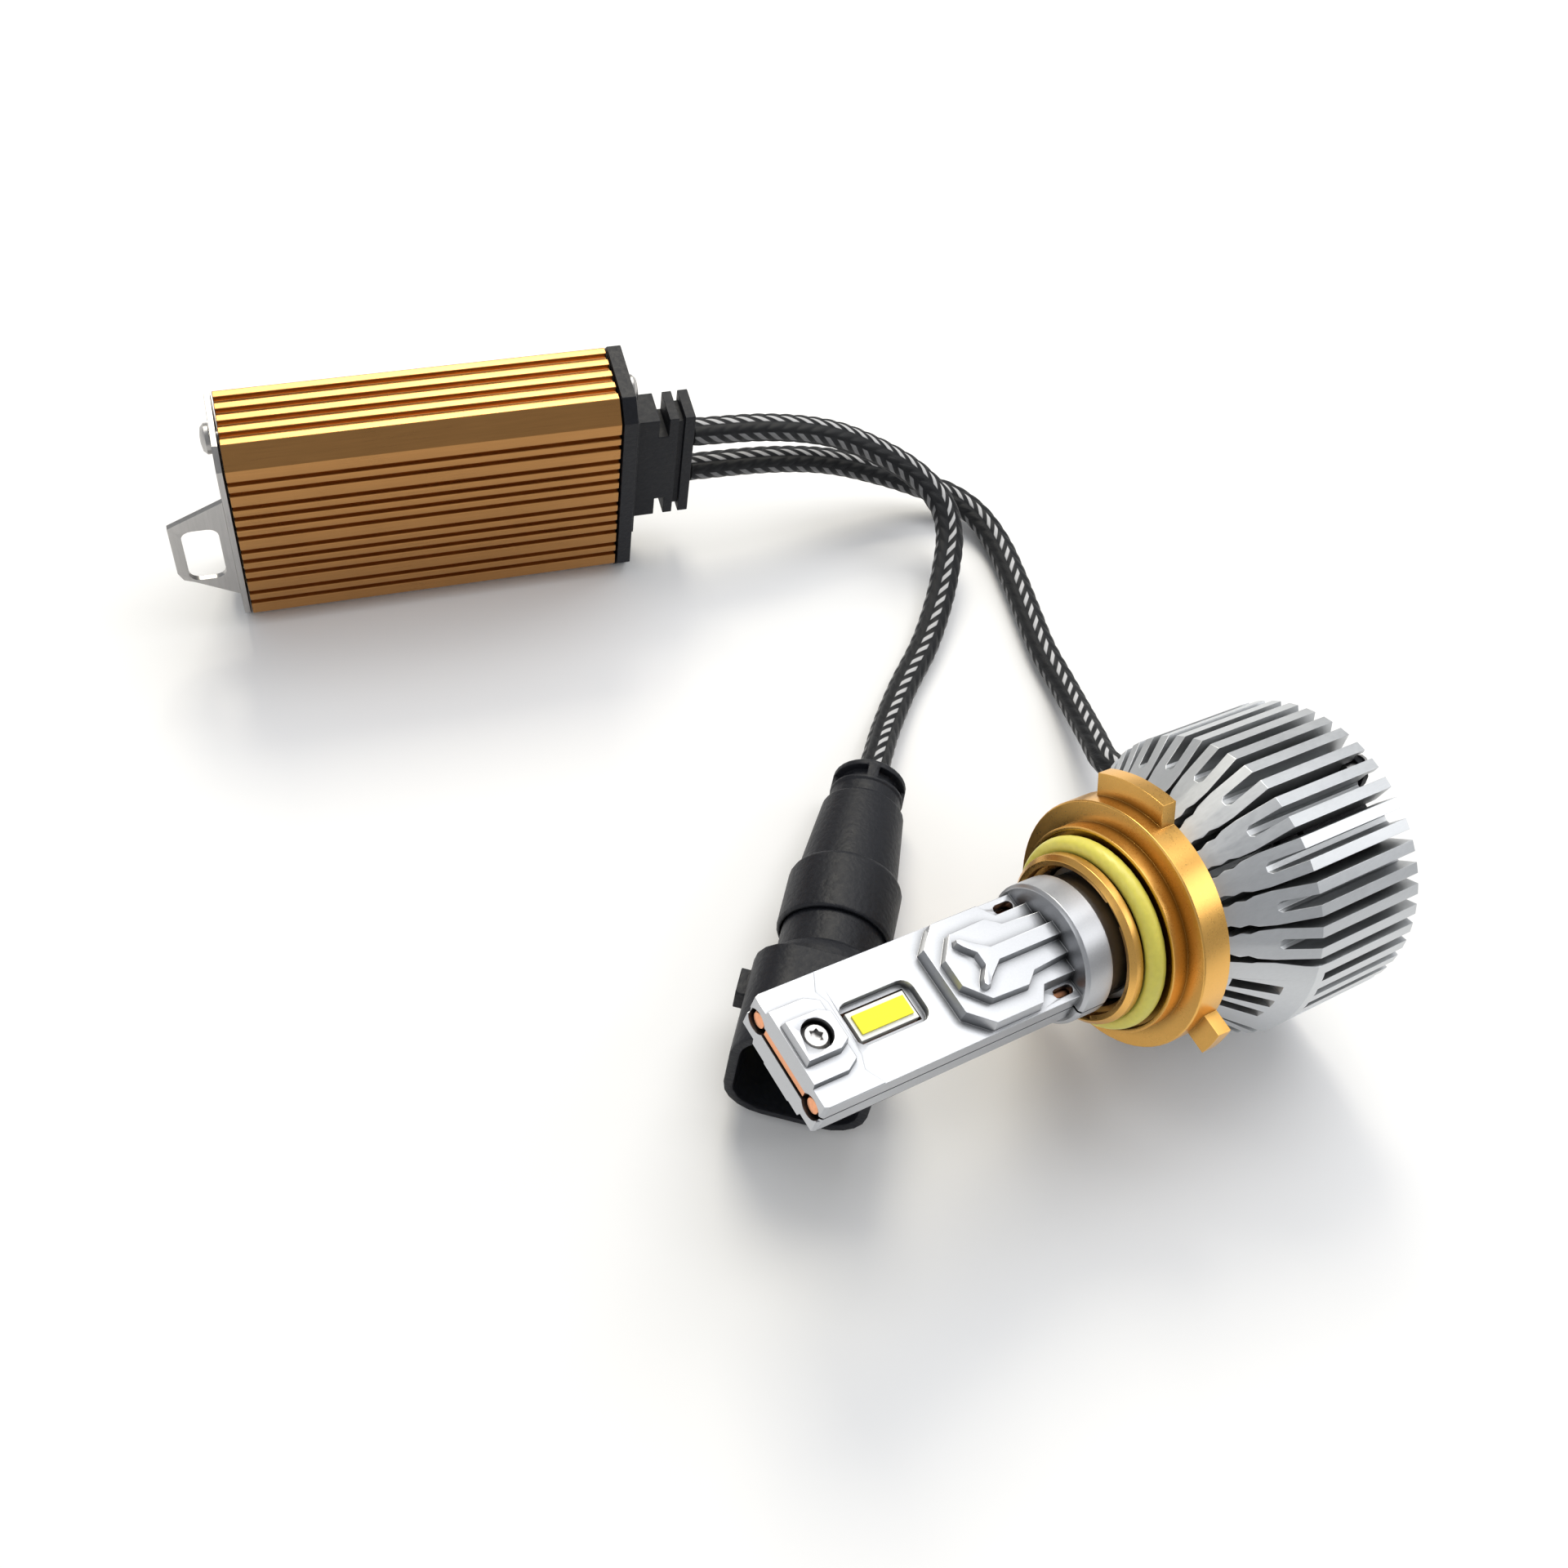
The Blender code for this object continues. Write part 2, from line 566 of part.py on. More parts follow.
for angle, half_width in TABS:
    outer = FLANGE_RADIUS + TAB_HEIGHT
    half_arc = math.degrees(math.asin(half_width / outer))
    outline = [(FLANGE_RADIUS - 2.5, half_width), (FLANGE_RADIUS - 2.5, -half_width)]
    outline += [polar(outer, half_arc * (i / 4 - 1.0)) for i in range(9)]
    tab = plate("locking_tab", outline, -FLANGE_THICKNESS, -FLANGE_THICKNESS + TAB_THICKNESS)
    flange = fuse(flange, move(tab, about_z(angle)))
for angle in (75.0, 195.0, 315.0):
    notch = box("lip_notch", (0, -1.6, groove_front + 0.7), (FLANGE_BORE_RADIUS + 0.35, 1.6, 9.0))
    flange = cut(flange, move(notch, about_z(angle)))
finish(flange, GOLD, bulb)


def torus(name, ring, tube, z, ring_steps=40, tube_steps=8):
    circle = [(ring + tube * math.cos(-2 * math.pi * i / tube_steps),
               z + tube * math.sin(-2 * math.pi * i / tube_steps)) for i in range(tube_steps)]
    return turned(name, circle, ring_steps)


finish(torus("flange_seal", seal_ring_radius, SEAL_TUBE, SEAL_Z), SEAL, bulb, 60)

snap_ring = turned("flange_snap_ring",
                   [(STEM_RADIUS + 0.75, SNAP_RING_Z + 0.4), (STEM_RADIUS + 0.75, SNAP_RING_Z - 0.4),
                    (STEM_RADIUS - 0.2, SNAP_RING_Z - 0.4), (STEM_RADIUS - 0.2, SNAP_RING_Z + 0.4)],
                   32)
ring_mouth = box("ring_mouth", (-1.6, -12.0, SNAP_RING_Z - 1), (1.6, 0.0, SNAP_RING_Z + 1))
finish(cut(snap_ring, ring_mouth), STEEL, bulb)


# Heat sink: a hub with forked fins, turned to a cone in front, hollowed for the fan behind
def tree_outline(angle):
    """A forked fin across the axis, from its foot in the hub out to its two fins and back."""
    pitch = FIN_WIDTH + FORK_GAP
    foot = TREE_STEM_WIDTH / 2
    outer = SINK_RADIUS + 2
    ridges = 7
    first = HUB_RADIUS + 0.9
    half = [(HUB_RADIUS - 1.5, foot)]
    for i in range(ridges):
        along = i / (ridges - 1)
        side = foot + (pitch / 2 + 0.35 - foot) * along + TREE_RIPPLE * (-1) ** i
        half.append((first + (FORK_RADIUS - 1.6 - first) * along, side))
    half += [(FORK_RADIUS - 0.3, pitch / 2 + FIN_WIDTH / 2), (outer, pitch / 2 + FIN_WIDTH / 2),
            (outer, FORK_GAP / 2), (FORK_RADIUS + 0.3, FORK_GAP / 2), (FORK_RADIUS, FORK_GAP / 4)]
    points = half + [(x, -y) for x, y in reversed(half)]
    turn = math.radians(angle)
    return [(x * math.cos(turn) - y * math.sin(turn), x * math.sin(turn) + y * math.cos(turn))
            for x, y in points]


sink = rod("heat_sink", HUB_RADIUS, HUB_REAR, SINK_FRONT, segments=TREES * 2)
for tree in range(TREES):
    fins = plate("fins", tree_outline(tree * 360 / TREES), SINK_REAR, SINK_FRONT)
    sink = fuse(sink, fins)
panel_arc = (len(PANEL_TREES) - 0.2) * 360 / TREES
panel = [polar(HUB_RADIUS - 1, -panel_arc / 2 + panel_arc * i / 8) for i in range(9)]
panel += [polar(SINK_RADIUS + 2, panel_arc / 2 - panel_arc * i / 8) for i in range(9)]
sink = fuse(sink, plate("front_panel", panel, SINK_SHOULDER - PANEL_THICKNESS, SINK_FRONT))
boss_arc = 22.0
boss = [polar(FORK_RADIUS - 1.2, GLAND_ANGLE + boss_arc * (i / 6 - 0.5)) for i in range(7)]
boss += [polar(SINK_RADIUS + 2, GLAND_ANGLE + boss_arc * (0.5 - i / 6)) for i in range(7)]
sink = fuse(sink, plate("gland_boss", boss, SINK_REAR + 1.0, GLAND_Z + GLAND_RADIUS + 1.5))
envelope = turned("envelope", [(0.0, SINK_FRONT), (SINK_FRONT_RADIUS, SINK_FRONT),
                               (SINK_RADIUS, SINK_SHOULDER), (SINK_RADIUS, SINK_REAR),
                               (0.0, SINK_REAR)], TREES * 2)
sink = boolean(sink, envelope, "INTERSECT")
sink = cut(sink,
           rod("stem_bore", STEM_RADIUS + GAP, SINK_FRONT - STEM_BORE_DEPTH, SINK_FRONT + 1),
           rod("fan_cavity", FAN_CAVITY_RADIUS, SINK_REAR - 1, HUB_REAR, segments=TREES * 2))
for angle in VENT_ANGLES:
    vent = box("vent", (FORK_RADIUS - 4.0, -0.7, -13.4), (SINK_RADIUS + 2, 0.7, -8.2))
    sink = cut(sink, move(vent, about_z(angle)))
for angle in FAN_EARS:
    seat = plate("ear_seat", rounded(7.0, 5.6, 2.6, FAN_EAR_RADIUS - 1.6, 0.0, 3),
                 SINK_REAR - 1, SINK_REAR + 1.5)
    thread = rod("ear_thread", FAN_SCREW_RADIUS + GAP, SINK_REAR - 1, SINK_REAR + 3.4,
                 FAN_EAR_RADIUS, 0.0, 12)
    sink = cut(sink, move(seat, about_z(angle)), move(thread, about_z(angle)))
gland_hole = rod("gland_hole", GLAND_RADIUS - 0.6 + GAP, 0.0, 30.0, segments=24)
to_gland = (about_z(GLAND_ANGLE) @ Matrix.Translation((0, 0, GLAND_Z * MM))
            @ Matrix.Rotation(math.pi / 2, 4, "Y"))
sink = cut(sink, move(gland_hole, to_gland))
finish(sink, SILVER, bulb, 30)

gland = turned("cable_gland",
               [(0.0, SINK_RADIUS + GLAND_HEAD), (GLAND_RADIUS - 0.5, SINK_RADIUS + GLAND_HEAD),
                (GLAND_RADIUS, SINK_RADIUS + GLAND_HEAD - 0.5), (GLAND_RADIUS, SINK_RADIUS + GAP),
                (GLAND_RADIUS - 0.6, SINK_RADIUS + GAP), (GLAND_RADIUS - 0.6, FAN_CAVITY_RADIUS + 0.4),
                (0.0, FAN_CAVITY_RADIUS + 0.4)], 24)
finish(move(gland, to_gland), RUBBER, bulb)

# Fan: the frame holds the bearing and stator from the front, and the rotor faces the rear
fan_rear = SINK_REAR + 0.2
spoke_rear = FAN_FRONT - 1.6
fan_frame = turned("fan_frame", [(FAN_FRAME_RADIUS, FAN_FRONT), (FAN_FRAME_RADIUS, fan_rear),
                                 (FAN_FRAME_RADIUS - FAN_WALL, fan_rear),
                                 (FAN_FRAME_RADIUS - FAN_WALL, FAN_FRONT)], 40)
motor_base = turned("motor_base", [(6.2, FAN_FRONT), (6.2, spoke_rear), (3.0, spoke_rear),
                                   (3.0, SINK_REAR + 3.6), (2.2, SINK_REAR + 3.6),
                                   (2.2, FAN_FRONT - 0.8), (0.0, FAN_FRONT - 0.8), (0.0, FAN_FRONT)], 24)
for angle in (30.0, 150.0, 270.0):
    spoke = box("spoke", (5.0, -0.8, spoke_rear), (FAN_FRAME_RADIUS - 0.5, 0.8, FAN_FRONT))
    motor_base = fuse(motor_base, move(spoke, about_z(angle)))
fan_frame = fuse(fan_frame, motor_base)
for angle in FAN_EARS:
    ear = plate("ear", rounded(6.0, 4.4, 2.0, FAN_EAR_RADIUS - 1.9, 0.0, 3), fan_rear, fan_rear + 1.0)
    fan_frame = fuse(fan_frame, move(ear, about_z(angle)))
inside = turned("inside", [(FAN_FRAME_RADIUS - FAN_WALL, spoke_rear - 0.5),
                           (FAN_FRAME_RADIUS - FAN_WALL, fan_rear - 1), (7.0, fan_rear - 1),
                           (7.0, spoke_rear - 0.5)], 40)
fan_frame = cut(fan_frame, inside)
for angle in FAN_EARS:
    hole = rod("ear_hole", FAN_SCREW_RADIUS + GAP, SINK_REAR - 2, SINK_REAR + 3,
               FAN_EAR_RADIUS, 0.0, 12)
    fan_frame = cut(fan_frame, move(hole, about_z(angle)))
finish(fan_frame, BLACK, bulb)

bearing_bore = SHAFT_RADIUS + 0.07
finish(turned("fan_bearing", [(1.9, FAN_FRONT - 2.0), (1.9, SINK_REAR + 3.8),
                              (bearing_bore, SINK_REAR + 3.8),
                              (bearing_bore, FAN_FRONT - 2.0)], 20), COPPER, bulb)
finish(turned("fan_stator", [(6.1, spoke_rear - 1.0), (6.1, SINK_REAR + 4.2), (3.3, SINK_REAR + 4.2),
                             (3.3, spoke_rear - 1.0)], 24), FERRITE, bulb)
finish(turned("fan_magnet", [(7.1, spoke_rear - 1.0), (7.1, SINK_REAR + 3.4), (6.4, SINK_REAR + 3.4),
                             (6.4, spoke_rear - 1.0)], 24), FERRITE, bulb)
finish(turned("fan_shaft", [(0.0, FAN_FRONT - 1.1), (SHAFT_RADIUS, FAN_FRONT - 1.1),
                            (SHAFT_RADIUS, SINK_REAR + 1.9), (0.0, SINK_REAR + 1.9)], 20), STEEL, bulb)
rotor_rear = SINK_REAR + 0.8
rotor = turned("fan_rotor", [(0.0, rotor_rear + 1.0), (1.2, rotor_rear + 1.0), (1.2, rotor_rear + 2.4),
                             (2.4, rotor_rear + 2.4), (2.4, rotor_rear + 1.0), (7.4, rotor_rear + 1.0),
                             (7.4, spoke_rear - 0.7), (ROTOR_HUB_RADIUS, spoke_rear - 0.7),
                             (ROTOR_HUB_RADIUS, rotor_rear + 0.4),
                             (ROTOR_HUB_RADIUS - 0.5, rotor_rear), (0.0, rotor_rear)], 36)
sweep = 26.0
for blade_number in range(ROTOR_BLADES):
    line = []
    for i in range(5):
        share = i / 4
        line.append((ROTOR_HUB_RADIUS - 0.4 + share * 5.3, sweep * share * share))
    outline = [polar(r, a + math.degrees(0.35 / r)) for r, a in line]
    outline += [polar(r, a - math.degrees(0.35 / r)) for r, a in reversed(line)]
    fan_blade = plate("fan_blade", outline, rotor_rear + 0.5, spoke_rear - 0.9)
    rotor = fuse(rotor, move(fan_blade, about_z(blade_number * 360 / ROTOR_BLADES)))
finish(rotor, BLACK, bulb)

for number, angle in enumerate(FAN_EARS, 1):
    screw = turned(f"fan_screw_{number}",
                   [(0.0, fan_rear + 2.6), (FAN_SCREW_RADIUS, fan_rear + 2.6),
                    (FAN_SCREW_RADIUS, fan_rear - 0.05),
                    (1.4, fan_rear - 0.05), (1.4, fan_rear - 0.45), (1.1, fan_rear - 0.7),
                    (0.0, fan_rear - 0.7)], 12)
    move(screw, about_z(angle) @ Matrix.Translation((FAN_EAR_RADIUS * MM, 0, 0)))
    finish(screw, STEEL, bulb)

# ---------------------------------------------------------------------------------------------
# Driver box
# ---------------------------------------------------------------------------------------------

driver = bpy.data.objects.new("driver_frame", None)
model.objects.link(driver)
driver.location = (DRIVER_PLACE[0] * MM, DRIVER_PLACE[1] * MM, CAP_PROUD * MM)
driver.rotation_euler = (0.0, 0.0, math.radians(DRIVER_TURN))
depth_middle = DRIVER_DEPTH / 2
height_middle = DRIVER_HEIGHT / 2


def box_outline(inset=0.0):
    """The bevelled section of the box in (y, z)."""
    shift = inset * 0.6
    low_y, high_y = inset, DRIVER_DEPTH - inset
    low_z, high_z = inset, DRIVER_HEIGHT - inset
    up, deep = BEVEL_UP - inset + shift, BEVEL_DEEP - inset + shift
    return [(low_y, low_z + up), (low_y + deep, low_z), (high_y - deep, low_z), (high_y, low_z + up),
            (high_y, high_z - up), (high_y - deep, high_z), (low_y + deep, high_z),
            (low_y, high_z - up)]


def rib_grooves():
    """The grooves between ribs, as (start, end) along the tall face, from its middle outwards."""
    widths = [WIDE_RIB if kind == "W" else NARROW_RIB for kind in FACE_RIBS]
    face = DRIVER_HEIGHT - 2 * BEVEL_UP
    groove = (face - sum(widths)) / (len(widths) - 1)
    start = BEVEL_UP
    grooves = []
    for width in widths[:-1]:
        start += width
        grooves.append((start, start + groove))
        start += groove
    return grooves


def ribbed_outline():
    """The box section with its rib grooves, counter-clockwise in (y, z)."""
    tall = rib_grooves()
    top = DRIVER_DEPTH - 2 * BEVEL_DEEP
    pitch = top / (2 * EDGE_RIBS - 1)
    short = [(BEVEL_DEEP + pitch * (2 * i + 1), BEVEL_DEEP + pitch * (2 * i + 2))
             for i in range(EDGE_RIBS - 1)]
    slant = 0.12
    points = [(BEVEL_DEEP, 0.0)]
    for low, high in short:
        points += [(low, 0.0), (low + slant, RIB_DEPTH), (high - slant, RIB_DEPTH), (high, 0.0)]
    points += [(DRIVER_DEPTH - BEVEL_DEEP, 0.0), (DRIVER_DEPTH, BEVEL_UP)]
    for low, high in tall:
        points += [(DRIVER_DEPTH, low), (DRIVER_DEPTH - RIB_DEPTH, low + slant),
                   (DRIVER_DEPTH - RIB_DEPTH, high - slant), (DRIVER_DEPTH, high)]
    points += [(DRIVER_DEPTH, DRIVER_HEIGHT - BEVEL_UP), (DRIVER_DEPTH - BEVEL_DEEP, DRIVER_HEIGHT)]
    for low, high in reversed(short):
        points += [(high, DRIVER_HEIGHT), (high - slant, DRIVER_HEIGHT - RIB_DEPTH),
                   (low + slant, DRIVER_HEIGHT - RIB_DEPTH), (low, DRIVER_HEIGHT)]
    points += [(BEVEL_DEEP, DRIVER_HEIGHT), (0.0, DRIVER_HEIGHT - BEVEL_UP)]
    for low, high in reversed(tall):
        points += [(0.0, high), (RIB_DEPTH, high - slant), (RIB_DEPTH, low + slant), (0.0, low)]
    points += [(0.0, BEVEL_UP)]
    return points


housing = plate("driver_housing", ribbed_outline(), 0.0, DRIVER_LENGTH, "X")
housing_bore = plate("housing_bore", box_outline(DRIVER_WALL), -1.0, DRIVER_LENGTH + 1.0, "X")
finish(cut(housing, housing_bore), BRONZE, driver, 20)

end_plate = plate("driver_end_plate", box_outline(0.15), -END_PLATE - GAP, -GAP, "X")
tab_root, tab_tip = 10.2, 5.8
tab_outline = [(-GAP, TAB_MIDDLE + tab_root), (-TAB_REACH, TAB_MIDDLE + tab_tip),
               (-TAB_REACH, TAB_MIDDLE - tab_tip + 2.2), (-TAB_REACH + 0.6, TAB_MIDDLE - tab_tip + 0.7),
               (-TAB_REACH + 2.0, TAB_MIDDLE - tab_tip), (-GAP, TAB_MIDDLE - tab_root)]
slotted_tab = plate("slotted_tab", tab_outline, 0.2, 0.2 + END_PLATE, "Y")
slot = rounded(SLOT_WIDTH, SLOT_LENGTH, SLOT_CORNER, -GAP - 4.6, TAB_MIDDLE - 0.4)
slotted_tab = cut(slotted_tab, plate("tab_slot", slot, -2.0, 4.0, "Y"))
end_plate = fuse(end_plate, slotted_tab)

cap_rear = DRIVER_LENGTH + GAP
cap_face = cap_rear + END_CAP
grommet_reach = cap_face + GROMMET_LENGTH
end_cap = plate("driver_end_cap", box_outline(-CAP_PROUD), cap_rear, cap_face, "X")


def grommet_block(name, low_x, high_x, margin):
    """A block along X round the grommet's section, larger than it by a margin on every side."""
    half_y = GROMMET_DEPTH / 2 + margin
    half_z = GROMMET_HEIGHT / 2 + margin
    return box(name, (low_x, depth_middle - half_y, height_middle - half_z),
               (high_x, depth_middle + half_y, height_middle + half_z))


plinth = grommet_block("plinth", cap_face - 0.5, cap_face + PLINTH_HEIGHT, 1.6)
socket = grommet_block("socket", cap_rear - 1.0, cap_face + 3.0, GAP - 1.0)
end_cap = cut(fuse(end_cap, plinth), socket)

tower_low = cap_face + PLINTH_HEIGHT + GAP
tower = fuse(grommet_block("cable_grommet", tower_low, grommet_reach, 0.0),
             grommet_block("tail", cap_rear - 1.8, tower_low + 0.5, -1.0))
ring_start = grommet_reach - 2.4
notch_start = grommet_reach - 5.2
grooves = []
for start, width, inset in ((notch_start, 1.4, 3.4), (ring_start, 0.9, 1.3)):
    for z in (height_middle - GROMMET_HEIGHT / 2, height_middle + GROMMET_HEIGHT / 2):
        grooves.append(box("groove", (start, 0.0, z - inset), (start + width, DRIVER_DEPTH, z + inset)))
for y in (depth_middle - GROMMET_DEPTH / 2, depth_middle + GROMMET_DEPTH / 2):
    grooves.append(box("groove", (ring_start, y - 0.7, 0.0), (ring_start + 0.9, y + 0.7, DRIVER_HEIGHT)))
finish(cut(tower, *grooves), RUBBER, driver)


def end_screw(name, head_x, inward, level):
    """A pan head screw along X; inward is 1 where the shank runs towards +X."""
    screw = turned(name, [(0.0, 0.9), (0.6, 0.9), (0.6, 1.3), (1.6, 1.1), (2.1, 0.6), (2.1, 0.05),
                          (END_SCREW_RADIUS, 0.05), (END_SCREW_RADIUS, -5.0), (0.0, -5.4)], 16)
    place = Matrix.Translation((head_x * MM, depth_middle * MM, level * MM))
    finish(move(screw, place @ Matrix.Rotation(-inward * math.pi / 2, 4, "Y")), STEEL, driver)


def end_hole(thing, level):
    hole = rod("hole", END_SCREW_RADIUS + GAP, -8.0, DRIVER_LENGTH + 10.0, segments=16)
    place = Matrix.Translation((0, depth_middle * MM, level * MM))
    return cut(thing, move(hole, place @ Matrix.Rotation(math.pi / 2, 4, "Y")))


screw_levels = (DRIVER_HEIGHT - END_SCREW_INSET, END_SCREW_INSET)
for level in screw_levels:
    end_plate = end_hole(end_plate, level)
    end_cap = end_hole(end_cap, level)
finish(end_plate, STEEL, driver)
finish(end_cap, BLACK, driver)
for label, level in zip(("top", "bottom"), screw_levels):
    end_screw(f"end_plate_screw_{label}", -END_PLATE - GAP - 0.1, 1, level)
    end_screw(f"end_cap_screw_{label}", cap_face + 0.1, -1, level)

board_y = DRIVER_DEPTH - DRIVER_WALL - 2.6
board = box("driver_board", (6.0, board_y, 3.0),
            (DRIVER_LENGTH - 6.3, board_y + 1.2, DRIVER_HEIGHT - 3.0))
finish(board, BOARD, driver)
component_y = board_y - GAP
for number, z in enumerate((9.0, 17.75), 1):
    can = turned(f"driver_capacitor_{number}", [(0.0, 6.0), (3.0, 6.0), (3.4, 5.6), (3.4, -5.6),
                                                (3.0, -6.0), (0.0, -6.0)], 16)
    place = Matrix.Translation((15.0 * MM, (component_y - 3.5) * MM, z * MM))
    finish(move(can, place @ Matrix.Rotation(math.pi / 2, 4, "Y")), BLACK, driver)
coil = turned("driver_inductor", [(5.6, 2.0), (5.6, -2.0), (2.6, -2.0), (2.6, 2.0)], 20)
coil_place = Matrix.Translation((31.0 * MM, (component_y - 2.1) * MM, 10.5 * MM))
finish(move(coil, coil_place @ Matrix.Rotation(math.pi / 2, 4, "X")), COPPER, driver)
for number, x in enumerate((26.0, 35.0), 1):
    mosfet = box(f"driver_mosfet_{number}", (x, component_y - 2.3, 23.0), (x + 6.4, component_y, 29.4))
    finish(mosfet, FERRITE, driver)
controller = box("driver_controller", (10.0, component_y - 1.6, 25.0), (15.0, component_y, 29.0))
finish(controller, FERRITE, driver)

# ---------------------------------------------------------------------------------------------
# Feed plug
# ---------------------------------------------------------------------------------------------

# It lies on the boot's ring and on the rear edge of the hood.
ring_touch = RING_REAR + 0.8
plug_tilt = math.atan2(HOOD_HALF_HEIGHT - PLUG_RING_RADIUS, HOOD_REAR - ring_touch)
plug_height = PLUG_RING_RADIUS * math.cos(plug_tilt) - ring_touch * math.sin(plug_tilt)
plug = frame("plug_frame", PLUG_PLACE, plug_height, PLUG_HEADING, math.degrees(plug_tilt))
neck_bore = PLUG_NECK_RADIUS + GAP
boot = turned("plug_boot",
              [(neck_bore, RING_FRONT), (PLUG_RING_RADIUS - 0.3, RING_FRONT),
               (PLUG_RING_RADIUS, RING_FRONT - 0.5), (PLUG_RING_RADIUS, ring_touch),
               (PLUG_RING_RADIUS - 0.35, RING_REAR), (PLUG_NECK_RADIUS - 0.1, RING_REAR - 0.2)]
              + list(BOOT_PROFILE)
              + [(PLUG_CAP_RADIUS, 3.7), (PLUG_CAP_RADIUS, 0.6), (PLUG_CAP_RADIUS - 0.6, 0.0),
                 (0.0, 0.0), (0.0, RING_RECESS), (neck_bore, RING_RECESS)], 32)
for start in CAP_SLOTS:
    arc = [polar(PLUG_CAP_RADIUS + 2, start + 9 + 72 * i / 3) for i in range(4)]
    arc += [polar(PLUG_CAP_RADIUS - 1.1, start + 81 - 72 * i / 3) for i in range(4)]
    boot = cut(boot, plate("cap_slot", arc, 1.4, 3.2))
finish(boot, BLACK, plug)



def hood_section(inset):
    """The hood's outline in (x, y), drawn in by an inset."""
    return rounded(2 * (HOOD_HALF_WIDTH - inset), 2 * (HOOD_HALF_HEIGHT - inset), HOOD_CORNER - inset)


body = turned("plug_body",
              [(0.0, HOOD_FLOOR), (8.5, HOOD_FLOOR), (8.5, 35.0), (8.2, 33.8), (7.5, 33.0),
               (PLUG_NECK_RADIUS, NECK_FRONT), (PLUG_NECK_RADIUS, RING_RECESS + GAP),
               (0.0, RING_RECESS + GAP)], 32)
body = cut(fuse(body, plate("hood", hood_section(0.0), HOOD_REAR, HOOD_FRONT)),
           plate("hood_hollow", hood_section(HOOD_WALL), HOOD_FLOOR, HOOD_FRONT + 1))
body = fuse(body, box("latch_lug", (-HOOD_HALF_WIDTH - 1.3, -1.8, HOOD_REAR + 0.5),
                      (-HOOD_HALF_WIDTH + 0.6, 1.8, HOOD_REAR + 4.5)))
for label, x in (("left", -TERMINAL_SPACING / 2), ("right", TERMINAL_SPACING / 2)):
    side, thick = TERMINAL_WIDTH / 2, TERMINAL_THICKNESS / 2
    terminal = box(f"plug_terminal_{label}", (x - side, -thick, HOOD_FLOOR - 8.2),
                   (x + side, thick, HOOD_FRONT - 3.5))
    finish(terminal, TIN, plug)
    body = cut(body, box("terminal_slot", (x - side - GAP, -thick - GAP, HOOD_FLOOR - 8.2 - GAP),
                         (x + side + GAP, thick + GAP, HOOD_FRONT + 1)))
finish(body, BLACK, plug)
seal_inset = HOOD_WALL + GAP
seal_rear = HOOD_FLOOR + GAP
plug_seal = plate("plug_seal", hood_section(seal_inset), seal_rear, seal_rear + SEAL_THICKNESS)
seal_hole = plate("seal_hole", hood_section(seal_inset + SEAL_WIDTH), HOOD_FLOOR - 1.0, HOOD_FRONT)
finish(cut(plug_seal, seal_hole), SEAL, plug)


# ---------------------------------------------------------------------------------------------
# Cables
# ---------------------------------------------------------------------------------------------

def smooth_route(points, spacing):
    """Points at an even spacing along a Catmull-Rom curve through the route's own points."""
    knots = [Vector(p) for p in points]
    knots = [2 * knots[0] - knots[1]] + knots + [2 * knots[-1] - knots[-2]]
    fine = []
    for i in range(1, len(knots) - 2):
        a, b, c, d = knots[i - 1:i + 3]
        for step in range(20):
            t = step / 20
            fine.append(0.5 * (2 * b + (c - a) * t + (2 * a - 5 * b + 4 * c - d) * t * t
                               + (3 * b - a - 3 * c + d) * t ** 3))
    fine.append(knots[-2])
    lengths = [0.0]
    for p, q in zip(fine, fine[1:]):
        lengths.append(lengths[-1] + (q - p).length)
    count = max(2, round(lengths[-1] / spacing))
    route = []
    for i in range(count + 1):
        target = lengths[-1] * i / count
        k = min(max(1, next((n for n, v in enumerate(lengths) if v >= target), 1)), len(fine) - 1)
        share = (target - lengths[k - 1]) / max(lengths[k] - lengths[k - 1], 1e-9)
        route.append(fine[k - 1].lerp(fine[k], min(max(share, 0.0), 1.0)))
    return route


def cable(name, points):
    curve = bpy.data.curves.new(name, "CURVE")
    curve.dimensions = "3D"
    curve.bevel_depth = CABLE_DIAMETER * MM / 2
    curve.bevel_resolution = 2
    curve.use_fill_caps = True
    route = smooth_route(points, 2 * CABLE_DIAMETER)
    spline = curve.splines.new("POLY")
    spline.points.add(len(route) - 1)
    for point, place in zip(spline.points, route):
        point.co = (*(place * MM), 1.0)
    thing = add(name, curve)
    curve.materials.append(BRAID)
    return thing


cable("bulb_cable", BULB_CABLE)
cable("input_cable", INPUT_CABLE)
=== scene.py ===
"""Looks for the LED headlight bulb: finishes, braided cables, floor, light and camera."""

import json
import math

import bmesh
import bpy
from mathutils import Matrix, Vector


